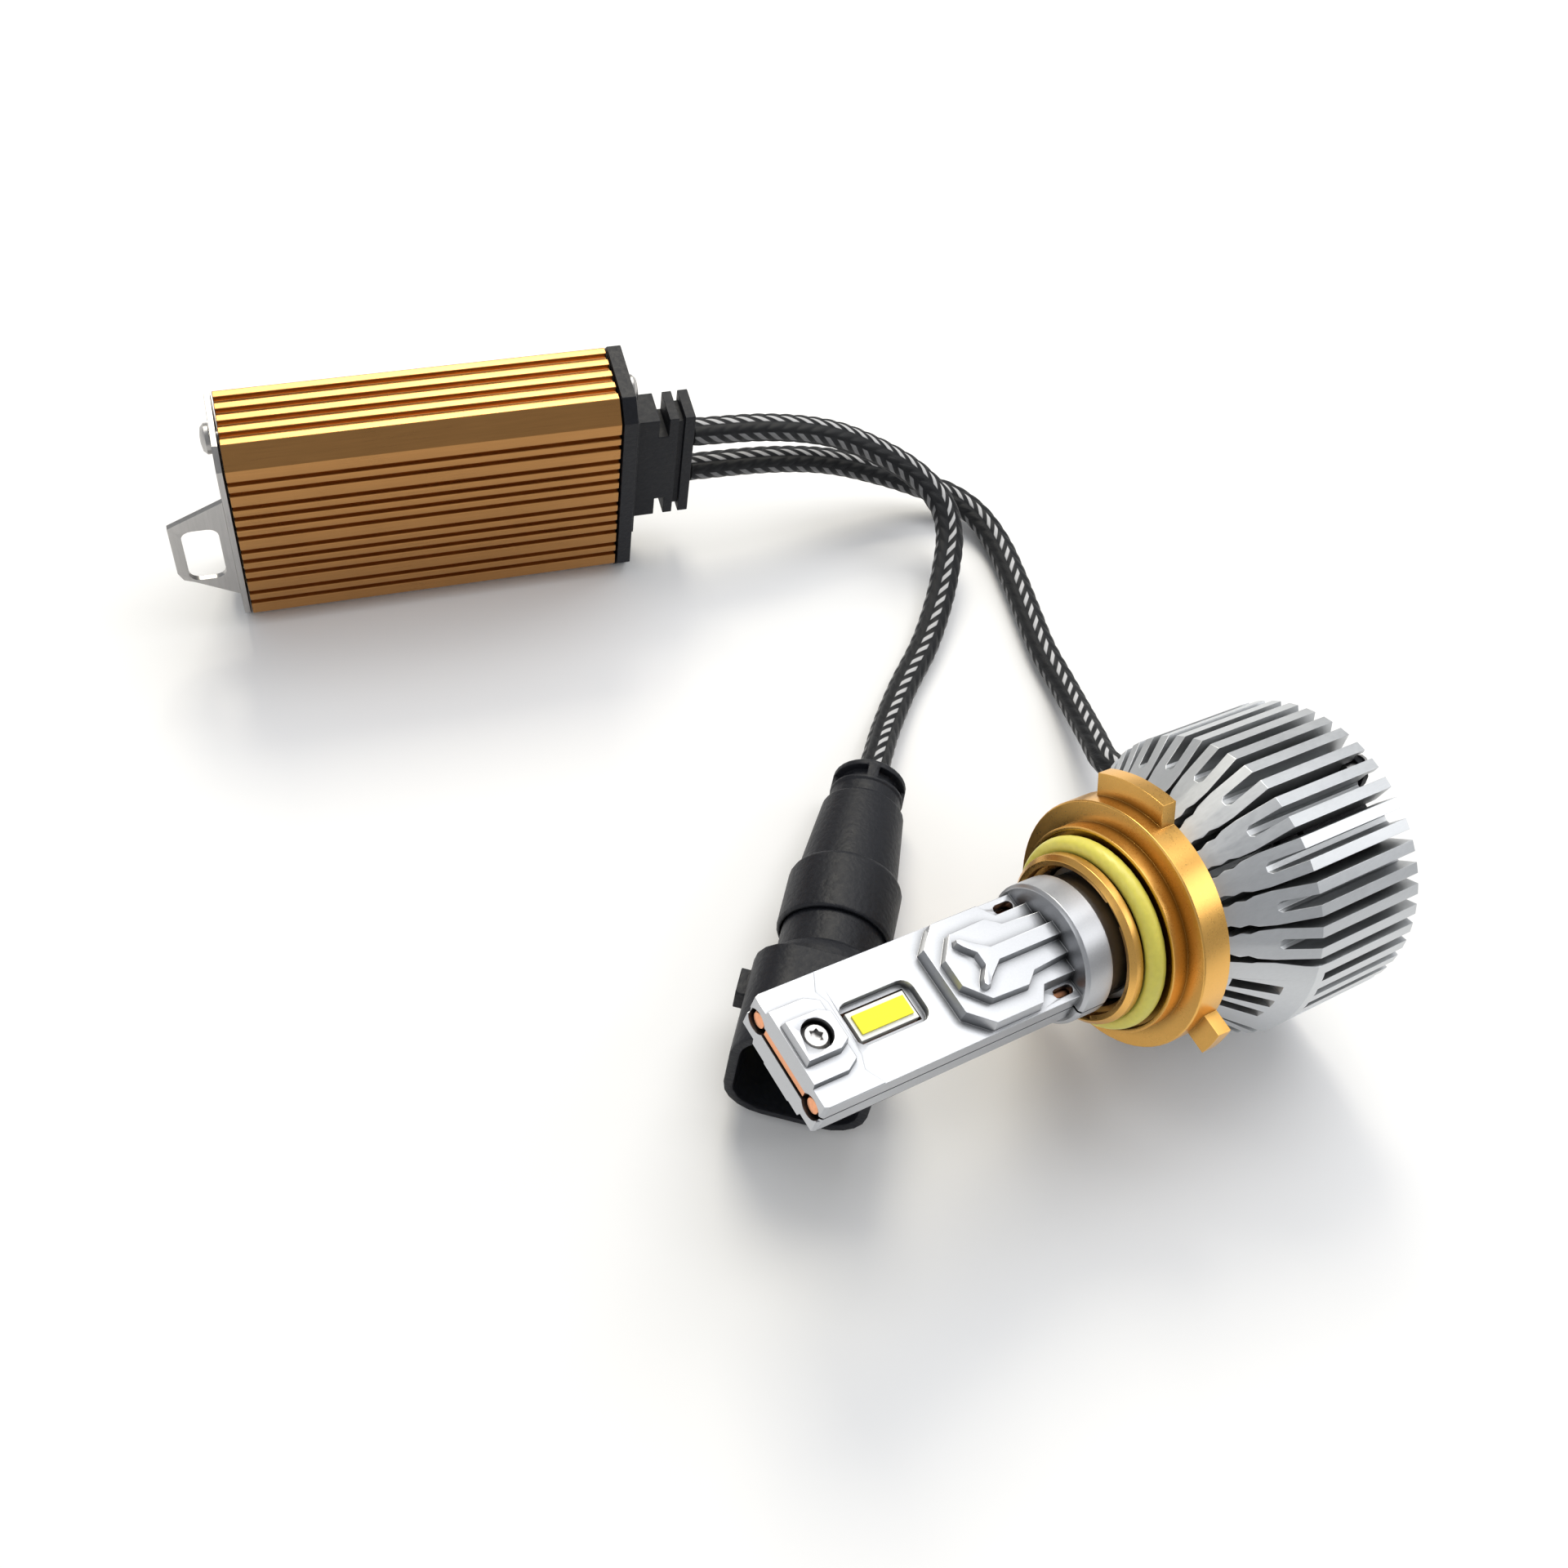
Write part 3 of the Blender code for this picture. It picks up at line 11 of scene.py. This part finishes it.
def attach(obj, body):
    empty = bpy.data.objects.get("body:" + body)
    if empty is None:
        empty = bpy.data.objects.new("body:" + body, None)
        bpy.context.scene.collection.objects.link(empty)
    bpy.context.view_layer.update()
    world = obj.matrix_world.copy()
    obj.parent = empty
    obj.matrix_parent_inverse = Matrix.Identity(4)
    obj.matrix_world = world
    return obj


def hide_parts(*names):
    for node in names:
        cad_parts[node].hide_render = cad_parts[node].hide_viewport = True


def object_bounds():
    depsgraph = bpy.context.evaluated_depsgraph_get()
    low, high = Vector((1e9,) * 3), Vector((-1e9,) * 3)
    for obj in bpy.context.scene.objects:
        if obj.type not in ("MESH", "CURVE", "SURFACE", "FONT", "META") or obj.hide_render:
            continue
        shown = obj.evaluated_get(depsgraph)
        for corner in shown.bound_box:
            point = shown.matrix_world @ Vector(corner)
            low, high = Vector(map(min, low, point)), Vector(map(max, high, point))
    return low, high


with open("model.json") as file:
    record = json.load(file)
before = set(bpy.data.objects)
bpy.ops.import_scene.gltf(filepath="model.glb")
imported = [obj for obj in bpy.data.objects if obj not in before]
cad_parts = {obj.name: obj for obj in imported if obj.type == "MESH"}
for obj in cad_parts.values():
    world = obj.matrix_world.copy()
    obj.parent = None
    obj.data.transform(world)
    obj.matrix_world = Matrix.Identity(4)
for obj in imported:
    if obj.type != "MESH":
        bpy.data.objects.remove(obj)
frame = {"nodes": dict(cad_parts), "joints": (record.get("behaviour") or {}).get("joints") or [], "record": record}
cad_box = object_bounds()
nodes = frame["nodes"]
joints = {joint["name"]: joint for joint in frame["joints"]}

MM = 0.001

# Which way the grain of the drawn metals runs: along the tilted bulb, and along the turned driver box
NOSE = Vector(joints["flange_turn"]["axis"]).normalized()
NOSE_TILT = math.asin(NOSE.z)
DRIVER_TURN = math.radians(-15.613)


# ---------------------------------------------------------------------------------------------
# Camera
# ---------------------------------------------------------------------------------------------

CAMERA_PLACE = (-0.089554, -0.113598, 0.223606)
CAMERA_RIGHT = Vector((0.85301, -0.50998, 0.11090))
CAMERA_UP = Vector((0.37971, 0.75223, 0.53849))
CAMERA_SENSOR = 36.0             # millimetres
CAMERA_LENS = 42.907             # millimetres

camera_data = bpy.data.cameras.new("camera")
camera_data.sensor_width = CAMERA_SENSOR
camera_data.lens = CAMERA_LENS
camera_data.clip_start = 0.01
camera = bpy.data.objects.new("camera", camera_data)
bpy.context.scene.collection.objects.link(camera)
back = CAMERA_RIGHT.cross(CAMERA_UP).normalized()
up = back.cross(CAMERA_RIGHT).normalized()
turn = Matrix((CAMERA_RIGHT.normalized(), up, back)).transposed()
camera.matrix_world = Matrix.Translation(CAMERA_PLACE) @ turn.to_4x4()
bpy.context.scene.camera = camera


# ---------------------------------------------------------------------------------------------
# Node helpers
# ---------------------------------------------------------------------------------------------

MIDDLE_LOW = 0.3                 # noise values lie mostly between these two
MIDDLE_HIGH = 0.7
SHADED_CORNER = 0.35             # openness of an inner corner, and of a plain face: full painted shade at the first, none at the second
OPEN_FACE = 0.95


class Look:
    """A material with its Principled shader and short calls for the nodes that feed it."""

    def __init__(self, name, colour, roughness, metallic=0.0):
        self.material = bpy.data.materials.new(name)
        self.material.use_nodes = True
        self.tree = self.material.node_tree
        self.shader = self.tree.nodes["Principled BSDF"]
        self.shader.inputs["Base Color"].default_value = (*colour, 1.0)
        self.shader.inputs["Roughness"].default_value = roughness
        self.shader.inputs["Metallic"].default_value = metallic

    def node(self, kind, settings=(), **inputs):
        made = self.tree.nodes.new(kind)
        for key, value in dict(settings).items():
            setattr(made, key, value)
        for key, value in inputs.items():
            socket = made.inputs[int(key[1:])] if key[0] == "i" and key[1:].isdigit() else made.inputs[key]
            if isinstance(value, bpy.types.NodeSocket):
                self.tree.links.new(value, socket)
            else:
                socket.default_value = value
        return made

    def math(self, operation, a, b=0.0):
        return self.node("ShaderNodeMath", {"operation": operation}, i0=a, i1=b).outputs[0]

    def set(self, name, socket):
        self.tree.links.new(socket, self.shader.inputs[name])

    def coordinates(self, turn=0.0, scale=(1.0, 1.0, 1.0), tilt=0.0):
        """Object coordinates turned about Z, then about Y, then scaled."""
        place = self.node("ShaderNodeTexCoord").outputs["Object"]
        turned = self.node("ShaderNodeMapping", Vector=place, Rotation=(0.0, tilt, turn)).outputs[0]
        return self.node("ShaderNodeMapping", Vector=turned, Scale=scale).outputs[0]

    def noise(self, vector, scale, detail=2.0, roughness=0.5):
        return self.node("ShaderNodeTexNoise", Vector=vector, Scale=scale, Detail=detail,
                         Roughness=roughness).outputs["Fac"]

    def spread(self, value, low, high, start=MIDDLE_LOW, end=MIDDLE_HIGH):
        """A value's middle range stretched between two numbers."""
        return self.node("ShaderNodeMapRange", {"clamp": True}, i0=value, i1=start, i2=end, i3=low,
                         i4=high).outputs[0]

    def tint(self, factor, first, second):
        ramp = self.node("ShaderNodeValToRGB", Fac=factor)
        ramp.color_ramp.elements[0].color = (*first, 1.0)
        ramp.color_ramp.elements[0].position = MIDDLE_LOW
        ramp.color_ramp.elements[1].color = (*second, 1.0)
        ramp.color_ramp.elements[1].position = MIDDLE_HIGH
        self.set("Base Color", ramp.outputs[0])

    def paint_corner_shade(self, reach, darkest):
        """Paints shade into the colour in inner corners from an ambient occlusion reading, down to the darkest
        share of it.
        """
        occlusion = self.node("ShaderNodeAmbientOcclusion", {"samples": 8}, Distance=reach).outputs["AO"]
        share = self.spread(occlusion, darkest, 1.0, SHADED_CORNER, OPEN_FACE)
        colour = self.shader.inputs["Base Color"].links[0].from_socket
        mixed = self.node("ShaderNodeVectorMath", {"operation": "SCALE"}, i0=colour, Scale=share)
        self.set("Base Color", mixed.outputs[0])

    def bump(self, height, distance, strength=1.0):
        made = self.node("ShaderNodeBump", Height=height, Distance=distance, Strength=strength)
        previous = self.shader.inputs["Normal"]
        if previous.is_linked:
            self.tree.links.new(previous.links[0].from_socket, made.inputs["Normal"])
        self.set("Normal", made.outputs[0])


PATCH_GRAIN = 140.0              # noise cells in a metre, for the soft uneven patches
FINE_SHARE = 0.6                 # how much of the unevenness is fine grain, the rest patches


def grained(name, colour, roughness, metallic, grain, depth, spread=0.06, contrast=0.06, stretch=None,
            turn=0.0, tilt=0.0):
    """A finish with a fine grain in its height, and soft uneven patches in its colour and gloss."""
    look = Look(name, colour, roughness, metallic)
    even = look.coordinates()
    fine = look.noise(look.coordinates(turn, stretch or (1.0, 1.0, 1.0), tilt), grain, 3.0)
    patches = look.noise(even, PATCH_GRAIN, 4.0, 0.6)
    mixed = look.math("MULTIPLY_ADD", fine, FINE_SHARE)
    look.tree.links.new(look.math("MULTIPLY", patches, 1.0 - FINE_SHARE), mixed.node.inputs[2])
    look.set("Roughness", look.spread(mixed, roughness - spread, roughness + spread))
    look.tint(mixed, [c * (1 - contrast) for c in colour], [min(1.0, c * (1 + contrast)) for c in colour])
    look.bump(fine, depth)
    return look


# ---------------------------------------------------------------------------------------------
# Finishes
# ---------------------------------------------------------------------------------------------

# The blasted, extruded and gold finishes below get painted shade in their inner corners and gaps
blasted = grained("blasted_aluminium", (0.50, 0.51, 0.53), 0.38, 1.0, 5200.0, 0.000004)
blasted.paint_corner_shade(1.4 * MM, 0.12)
extruded = grained("extruded_aluminium", (0.60, 0.615, 0.63), 0.42, 1.0, 3600.0, 0.000002, 0.05, 0.05,
                   (0.06, 1.0, 1.0), 0.0, NOSE_TILT)
extruded.paint_corner_shade(2.5 * MM, 0.60)
gold = grained("gold_anodised", (0.80, 0.45, 0.12), 0.30, 1.0, 4200.0, 0.000003, 0.05, 0.05)
gold.paint_corner_shade(1.5 * MM, 0.3)
bronze = grained("bronze_anodised", (0.41, 0.205, 0.07), 0.30, 1.0, 3600.0, 0.000003, 0.05, 0.08,
                 (0.04, 1.0, 1.0), -DRIVER_TURN)
copper = grained("copper", (0.83, 0.38, 0.20), 0.33, 1.0, 3000.0, 0.00001, 0.08, 0.14)
steel = grained("brushed_steel", (0.43, 0.42, 0.41), 0.33, 1.0, 3000.0, 0.000008, 0.07, 0.10,
                (1.0, 1.0, 0.05), -DRIVER_TURN)
plastic = grained("black_plastic", (0.0085, 0.0095, 0.0135), 0.50, 0.0, 1500.0, 0.00009, 0.08, 0.25)
plastic.shader.inputs["Specular IOR Level"].default_value = 0.28
rubber = grained("black_rubber", (0.009, 0.010, 0.014), 0.55, 0.0, 1500.0, 0.00007, 0.08, 0.25)
rubber.shader.inputs["Specular IOR Level"].default_value = 0.28
silicone = grained("yellow_silicone", (0.76, 0.68, 0.12), 0.36, 0.0, 1500.0, 0.00001, 0.06, 0.06)
silicone.shader.inputs["Subsurface Weight"].default_value = 0.35
silicone.shader.inputs["Subsurface Radius"].default_value = (0.0016, 0.0013, 0.0005)
ceramic = grained("white_ceramic", (0.86, 0.87, 0.84), 0.5, 0.0, 3000.0, 0.00001, 0.05, 0.03)
phosphor = grained("yellow_phosphor", (0.93, 0.84, 0.015), 0.55, 0.0, 6000.0, 0.00001, 0.05, 0.05)
board = grained("circuit_board", (0.02, 0.16, 0.06), 0.4, 0.0, 1500.0, 0.00001, 0.06, 0.2)
ferrite = grained("ferrite", (0.06, 0.06, 0.065), 0.5, 0.0, 3000.0, 0.00002, 0.08, 0.2)
tin = grained("tinned_brass", (0.78, 0.75, 0.66), 0.28, 1.0, 2600.0, 0.00001, 0.06, 0.08)

FINISHES = {
    "cast_aluminium": blasted, "gold_anodised": gold, "bronze_anodised": bronze, "copper": copper,
    "steel": steel, "black_plastic": plastic, "black_rubber": rubber, "yellow_silicone": silicone,
    "white_ceramic": ceramic, "yellow_phosphor": phosphor, "circuit_board": board, "ferrite": ferrite,
    "tinned_brass": tin, "braided_sleeve": rubber}


def shading_group():
    """A node group that shades smooth, except across edges sharper than SHARP."""
    group = bpy.data.node_groups.new("shade_by_angle", "GeometryNodeTree")
    group.interface.new_socket("Geometry", in_out="INPUT", socket_type="NodeSocketGeometry")
    group.interface.new_socket("Geometry", in_out="OUTPUT", socket_type="NodeSocketGeometry")
    start = group.nodes.new("NodeGroupInput")
    end = group.nodes.new("NodeGroupOutput")
    faces = group.nodes.new("GeometryNodeSetShadeSmooth")
    edges = group.nodes.new("GeometryNodeSetShadeSmooth")
    edges.domain = "EDGE"
    edges.inputs["Shade Smooth"].default_value = False
    angle = group.nodes.new("GeometryNodeInputMeshEdgeAngle")
    sharper = group.nodes.new("FunctionNodeCompare")
    sharper.operation = "GREATER_THAN"
    sharper.inputs[1].default_value = SHARP
    group.links.new(start.outputs[0], faces.inputs["Geometry"])
    group.links.new(faces.outputs[0], edges.inputs["Geometry"])
    group.links.new(angle.outputs["Unsigned Angle"], sharper.inputs[0])
    group.links.new(sharper.outputs[0], edges.inputs["Selection"])
    group.links.new(edges.outputs[0], end.inputs[0])
    return group


SHARP = math.radians(36)
BEVEL_FROM = math.radians(34)    # an edge sharper than this is softened
WELD_REACH = 0.002 * MM
ROUND_NODE = "flange_seal"       # its coarse tube is smoothed into a round one

# Widths of the softened edges, in millimetres
BEVELS = {
    "heat_sink": 0.05, "mount_flange": 0.06, "blade_shell_upper": 0.06, "blade_shell_lower": 0.06,
    "driver_housing": 0.12, "driver_end_cap": 0.12, "driver_end_plate": 0.07, "cable_grommet": 0.15,
    "plug_body": 0.25, "plug_boot": 0.18, "cable_gland": 0.15, "fan_rotor": 0.06, "fan_frame": 0.08}
shade_by_angle = shading_group()


def dress(node, bevel):
    """Joins a CAD node's faces, softens its edges and shades it, all in modifiers."""
    weld = node.modifiers.new("weld", "WELD")
    weld.merge_threshold = WELD_REACH
    if node.name.endswith(ROUND_NODE):
        curved = node.modifiers.new("curved", "SUBSURF")
        curved.levels = 2
        curved.render_levels = 2
    if bevel:
        soft = node.modifiers.new("soft_edges", "BEVEL")
        soft.width = bevel * MM
        soft.segments = 2
        soft.limit_method = "ANGLE"
        soft.angle_limit = BEVEL_FROM
        soft.use_clamp_overlap = False
    shade = node.modifiers.new("shade", "NODES")
    shade.node_group = shade_by_angle
    even = node.modifiers.new("even_normals", "WEIGHTED_NORMAL")
    even.keep_sharp = True


slot_of = {part["node"]: part["material_slot"] for part in frame["record"]["subparts"]}
for name, node in nodes.items():
    look = FINISHES[slot_of[name]]
    if name == "heat_sink":
        look = extruded
    node.data.materials.clear()
    node.data.materials.append(look.material)
    dress(node, BEVELS.get(name))


# ---------------------------------------------------------------------------------------------
# Braided cables
# ---------------------------------------------------------------------------------------------

CABLE_DIAMETER = 3.8 * MM
BRAID_COLUMNS = 8                # columns of slanting strands round the cable
STRAND_PITCH = 2.3 * MM          # along the cable, from one strand of a column to the next
STRAND_SLANT = 0.95              # pitches that a strand climbs across its column
STRAND_RELIEF = 0.22 * MM
BRAID_TURN = math.radians(28)    # where the first column starts, round from the cable's side
TUBE_SIDES = 60
TUBE_STEP = 0.24 * MM
TUBE_SWELL = 1.07                # mean size of the braid's ridges against the cable's diameter
TUBE_FLATNESS = 0.08             # how much wider than the mean, and lower, the cable lies
TRACER_HALF = (0.18, 0.26)       # where the pale tracer fades out, from a strand's middle
COLUMN_HALF = (0.36, 0.46)       # where it fades out, from a column's middle
FAINT_TRACER = 0.65              # how much fainter it is in each second pale column
THREAD_WAVES = 50.0              # radians of thread across a strand

# The same points as the CAD model's routes, in millimetres
INPUT_ROUTE = [
    (16.1, 45.9, 21.8), (27.4, 42.9, 20.6), (36.4, 40.1, 18.2), (42.8, 36.8, 15.2),
    (48.2, 32.0, 12.0), (50.6, 27.0, 9.2), (49.9, 22.6, 6.8), (46.9, 18.3, 5.0),
    (42.7, 13.7, 3.3), (37.1, 8.7, 2.2), (30.2, 3.8, 2.0), (23.4, -1.8, 3.0),
    (18.8, -6.2, 4.8), (15.21, -9.63, 5.80)]
BULB_ROUTE = [
    (46.59, -31.07, 11.61), (46.28, -27.45, 9.95), (46.1, -23.4, 8.1), (48.0, -18.5, 6.1),
    (50.0, -13.1, 4.1), (52.0, -6.6, 2.4), (53.3, 0.2, 2.0), (55.2, 6.9, 2.0),
    (57.2, 13.7, 2.0), (58.8, 20.4, 2.0), (58.6, 26.2, 2.7), (56.4, 30.6, 3.7),
    (52.6, 33.7, 5.0), (46.6, 37.2, 7.4), (38.0, 40.5, 10.8), (28.3, 42.9, 13.2),
    (16.1, 45.9, 14.3)]


def smooth_route(points, spacing):
    """Evenly spaced points along a Catmull-Rom curve through the route's points, in metres."""
    knots = [Vector(p) * MM for p in points]
    knots = [2 * knots[0] - knots[1]] + knots + [2 * knots[-1] - knots[-2]]
    fine = []
    for i in range(1, len(knots) - 2):
        a, b, c, d = knots[i - 1:i + 3]
        for step in range(40):
            t = step / 40
            fine.append(0.5 * (2 * b + (c - a) * t + (2 * a - 5 * b + 4 * c - d) * t * t
                               + (3 * b - a - 3 * c + d) * t ** 3))
    fine.append(knots[-2])
    lengths = [0.0]
    for p, q in zip(fine, fine[1:]):
        lengths.append(lengths[-1] + (q - p).length)
    count = round(lengths[-1] / spacing)
    route = []
    k = 1
    for i in range(count + 1):
        target = lengths[-1] * i / count
        while k < len(fine) - 1 and lengths[k] < target:
            k += 1
        share = (target - lengths[k - 1]) / (lengths[k] - lengths[k - 1])
        route.append(fine[k - 1].lerp(fine[k], min(max(share, 0.0), 1.0)))
    return route, lengths[-1]


def strand_height(around, along):
    """How far a strand stands up at a share of the way round and a length along, from 0 to 1."""
    column = around * BRAID_COLUMNS
    across = column % 1.0 - 0.5
    slant = STRAND_SLANT if int(column) % 2 else -STRAND_SLANT
    strand = (along / STRAND_PITCH + slant * across) % 1.0
    return math.sin(math.pi * strand) ** 0.7 * math.cos(math.pi * across) ** 0.35


def braided_tube(name, points):
    """A slightly flat tube along the route with the strands of its braid raised."""
    route, length = smooth_route(points, TUBE_STEP)
    form = bmesh.new()
    uv_layer = form.loops.layers.uv.new("braid")
    rings = []
    for i, centre in enumerate(route):
        ahead = (route[min(i + 1, len(route) - 1)] - route[max(i - 1, 0)]).normalized()
        side = ahead.cross(Vector((0.0, 0.0, 1.0))).normalized()
        rise = side.cross(ahead)
        along = i * length / (len(route) - 1)
        ring = []
        for j in range(TUBE_SIDES):
            angle = 2 * math.pi * j / TUBE_SIDES + BRAID_TURN
            flat = TUBE_SWELL + TUBE_FLATNESS * math.cos(2 * angle)
            radius = (CABLE_DIAMETER / 2) * flat - STRAND_RELIEF * (1 - strand_height(j / TUBE_SIDES, along))
            ring.append(form.verts.new(centre + radius * (math.cos(angle) * side + math.sin(angle) * rise)))
        rings.append(ring)
    for i, (first, second) in enumerate(zip(rings, rings[1:])):
        for j in range(TUBE_SIDES):
            face = form.faces.new((first[j], first[(j + 1) % TUBE_SIDES],
                                   second[(j + 1) % TUBE_SIDES], second[j]))
            face.smooth = True
            corners = ((j, i), (j + 1, i), (j + 1, i + 1), (j, i + 1))
            for loop, (u, v) in zip(face.loops, corners):
                loop[uv_layer].uv = (u / TUBE_SIDES, v * length / (len(route) - 1) / STRAND_PITCH)
    form.faces.new(list(reversed(rings[0])))
    form.faces.new(rings[-1])
    bmesh.ops.recalc_face_normals(form, faces=form.faces)
    mesh = bpy.data.meshes.new(name)
    form.to_mesh(mesh)
    form.free()
    tube = bpy.data.objects.new(name, mesh)
    bpy.context.scene.collection.objects.link(tube)
    return tube, [list(p) for p in route[::8]] + [list(route[-1])], length


def braid_look():
    """Black multifilament strands; each second column's strands carry a pale tracer."""
    look = Look("braid", (0.02, 0.02, 0.022), 0.5)
    look.shader.inputs["Specular IOR Level"].default_value = 0.3
    uv = look.node("ShaderNodeUVMap", {"uv_map": "braid"}).outputs[0]
    parts = look.node("ShaderNodeSeparateXYZ", Vector=uv)
    column = look.math("MULTIPLY", parts.outputs[0], float(BRAID_COLUMNS))
    across = look.math("SUBTRACT", look.math("FRACT", column), 0.5)
    odd = look.math("MODULO", look.math("FLOOR", column), 2.0)
    slant = look.math("MULTIPLY", look.math("SUBTRACT", look.math("MULTIPLY", odd, 2.0), 1.0),
                      STRAND_SLANT)
    strand = look.math("ADD", parts.outputs[1], look.math("MULTIPLY", slant, across))
    within = look.math("FRACT", strand)
    off_middle = look.math("ABSOLUTE", look.math("SUBTRACT", within, 0.5))
    threads = look.math("SINE", look.math("MULTIPLY", within, THREAD_WAVES))
    tracer = look.node("ShaderNodeMapRange", {"clamp": True}, i0=off_middle, i1=TRACER_HALF[0],
                       i2=TRACER_HALF[1], i3=1.0, i4=0.0).outputs[0]
    inside = look.node("ShaderNodeMapRange", {"clamp": True}, i0=look.math("ABSOLUTE", across),
                       i1=COLUMN_HALF[0], i2=COLUMN_HALF[1], i3=1.0, i4=0.0).outputs[0]
    kind = look.math("MODULO", look.math("FLOOR", column), 4.0)
    fainter = look.math("MULTIPLY", look.math("GREATER_THAN", kind, 1.5), FAINT_TRACER)
    bright = look.math("SUBTRACT", 1.0, fainter)
    pale = look.math("MULTIPLY", look.math("MULTIPLY", tracer, inside), look.math("MULTIPLY", odd, bright))
    shade = look.spread(threads, 0.75, 1.0, -1.0, 1.0)
    mixed = look.node("ShaderNodeMix", {"data_type": "RGBA"}, i0=look.math("MULTIPLY", pale, shade))
    mixed.inputs[6].default_value = (0.006, 0.007, 0.009, 1.0)
    mixed.inputs[7].default_value = (0.62, 0.62, 0.63, 1.0)
    look.set("Base Color", mixed.outputs[2])
    look.set("Roughness", look.spread(threads, 0.38, 0.58, -1.0, 1.0))
    look.bump(threads, 0.00003, 0.6)
    look.shader.inputs["Sheen Weight"].default_value = 0.05
    return look


braid = braid_look()
plug_nodes = [nodes[name] for name in ("plug_boot", "plug_body", "plug_seal", "plug_terminal_left",
                                       "plug_terminal_right")]
for name, points, far_end, pieces in (("bulb_cable", BULB_ROUTE, "object", ()),
                                      ("input_cable", INPUT_ROUTE, "connector", plug_nodes)):
    tube, path, length = braided_tube(name + "_braid", points)
    tube.data.materials.append(braid.material)
    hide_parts(name)
    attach(tube, "bulb")


# ---------------------------------------------------------------------------------------------
# Floor and light
# ---------------------------------------------------------------------------------------------

floor_mesh = bpy.data.meshes.new("floor")
FLOOR_HALF = 1.5
FLOOR_DROP = 0.05 * MM           # so that the floor doesn't share a plane with what lies on it
floor_mesh.from_pydata([(-FLOOR_HALF, -FLOOR_HALF, 0), (FLOOR_HALF, -FLOOR_HALF, 0),
                        (FLOOR_HALF, FLOOR_HALF, 0), (-FLOOR_HALF, FLOOR_HALF, 0)], [], [(0, 1, 2, 3)])
floor = bpy.data.objects.new("floor", floor_mesh)
bpy.context.scene.collection.objects.link(floor)
floor_look = Look("floor_paper", (0.93, 0.93, 0.93), 0.85)
floor_mesh.materials.append(floor_look.material)
floor.location.z = cad_box[0][2] - FLOOR_DROP

world = bpy.data.worlds.new("studio")
bpy.context.scene.world = world
world.use_nodes = True
sky = world.node_tree.nodes["Background"]
sky.inputs["Color"].default_value = (0.95, 0.97, 1.0, 1.0)
sky.inputs["Strength"].default_value = 0.45


def softbox(name, place, size, power, colour=(1.0, 1.0, 1.0), aim=(0.0, 0.0, 0.02)):
    data = bpy.data.lights.new(name, "AREA")
    data.shape = "RECTANGLE"
    data.size, data.size_y = size
    data.energy = power
    data.color = colour
    lamp = bpy.data.objects.new(name, data)
    bpy.context.scene.collection.objects.link(lamp)
    lamp.location = place
    lamp.rotation_euler = (Vector(aim) - Vector(place)).to_track_quat("-Z", "Y").to_euler()


softbox("rib_softbox", (0.22, 0.64, 0.72), (0.34, 0.34), 4.2, (1.0, 0.94, 0.80), (-0.02, 0.05, 0.03))
softbox("key_softbox", (0.35, 0.22, 0.75), (0.7, 0.6), 3.8)
softbox("left_softbox", (-0.75, 0.10, 0.55), (0.4, 0.4), 0.8)
softbox("right_softbox", (0.70, -0.30, 0.45), (0.35, 0.4), 1.2)

bpy.context.scene.view_settings.view_transform = "Standard"
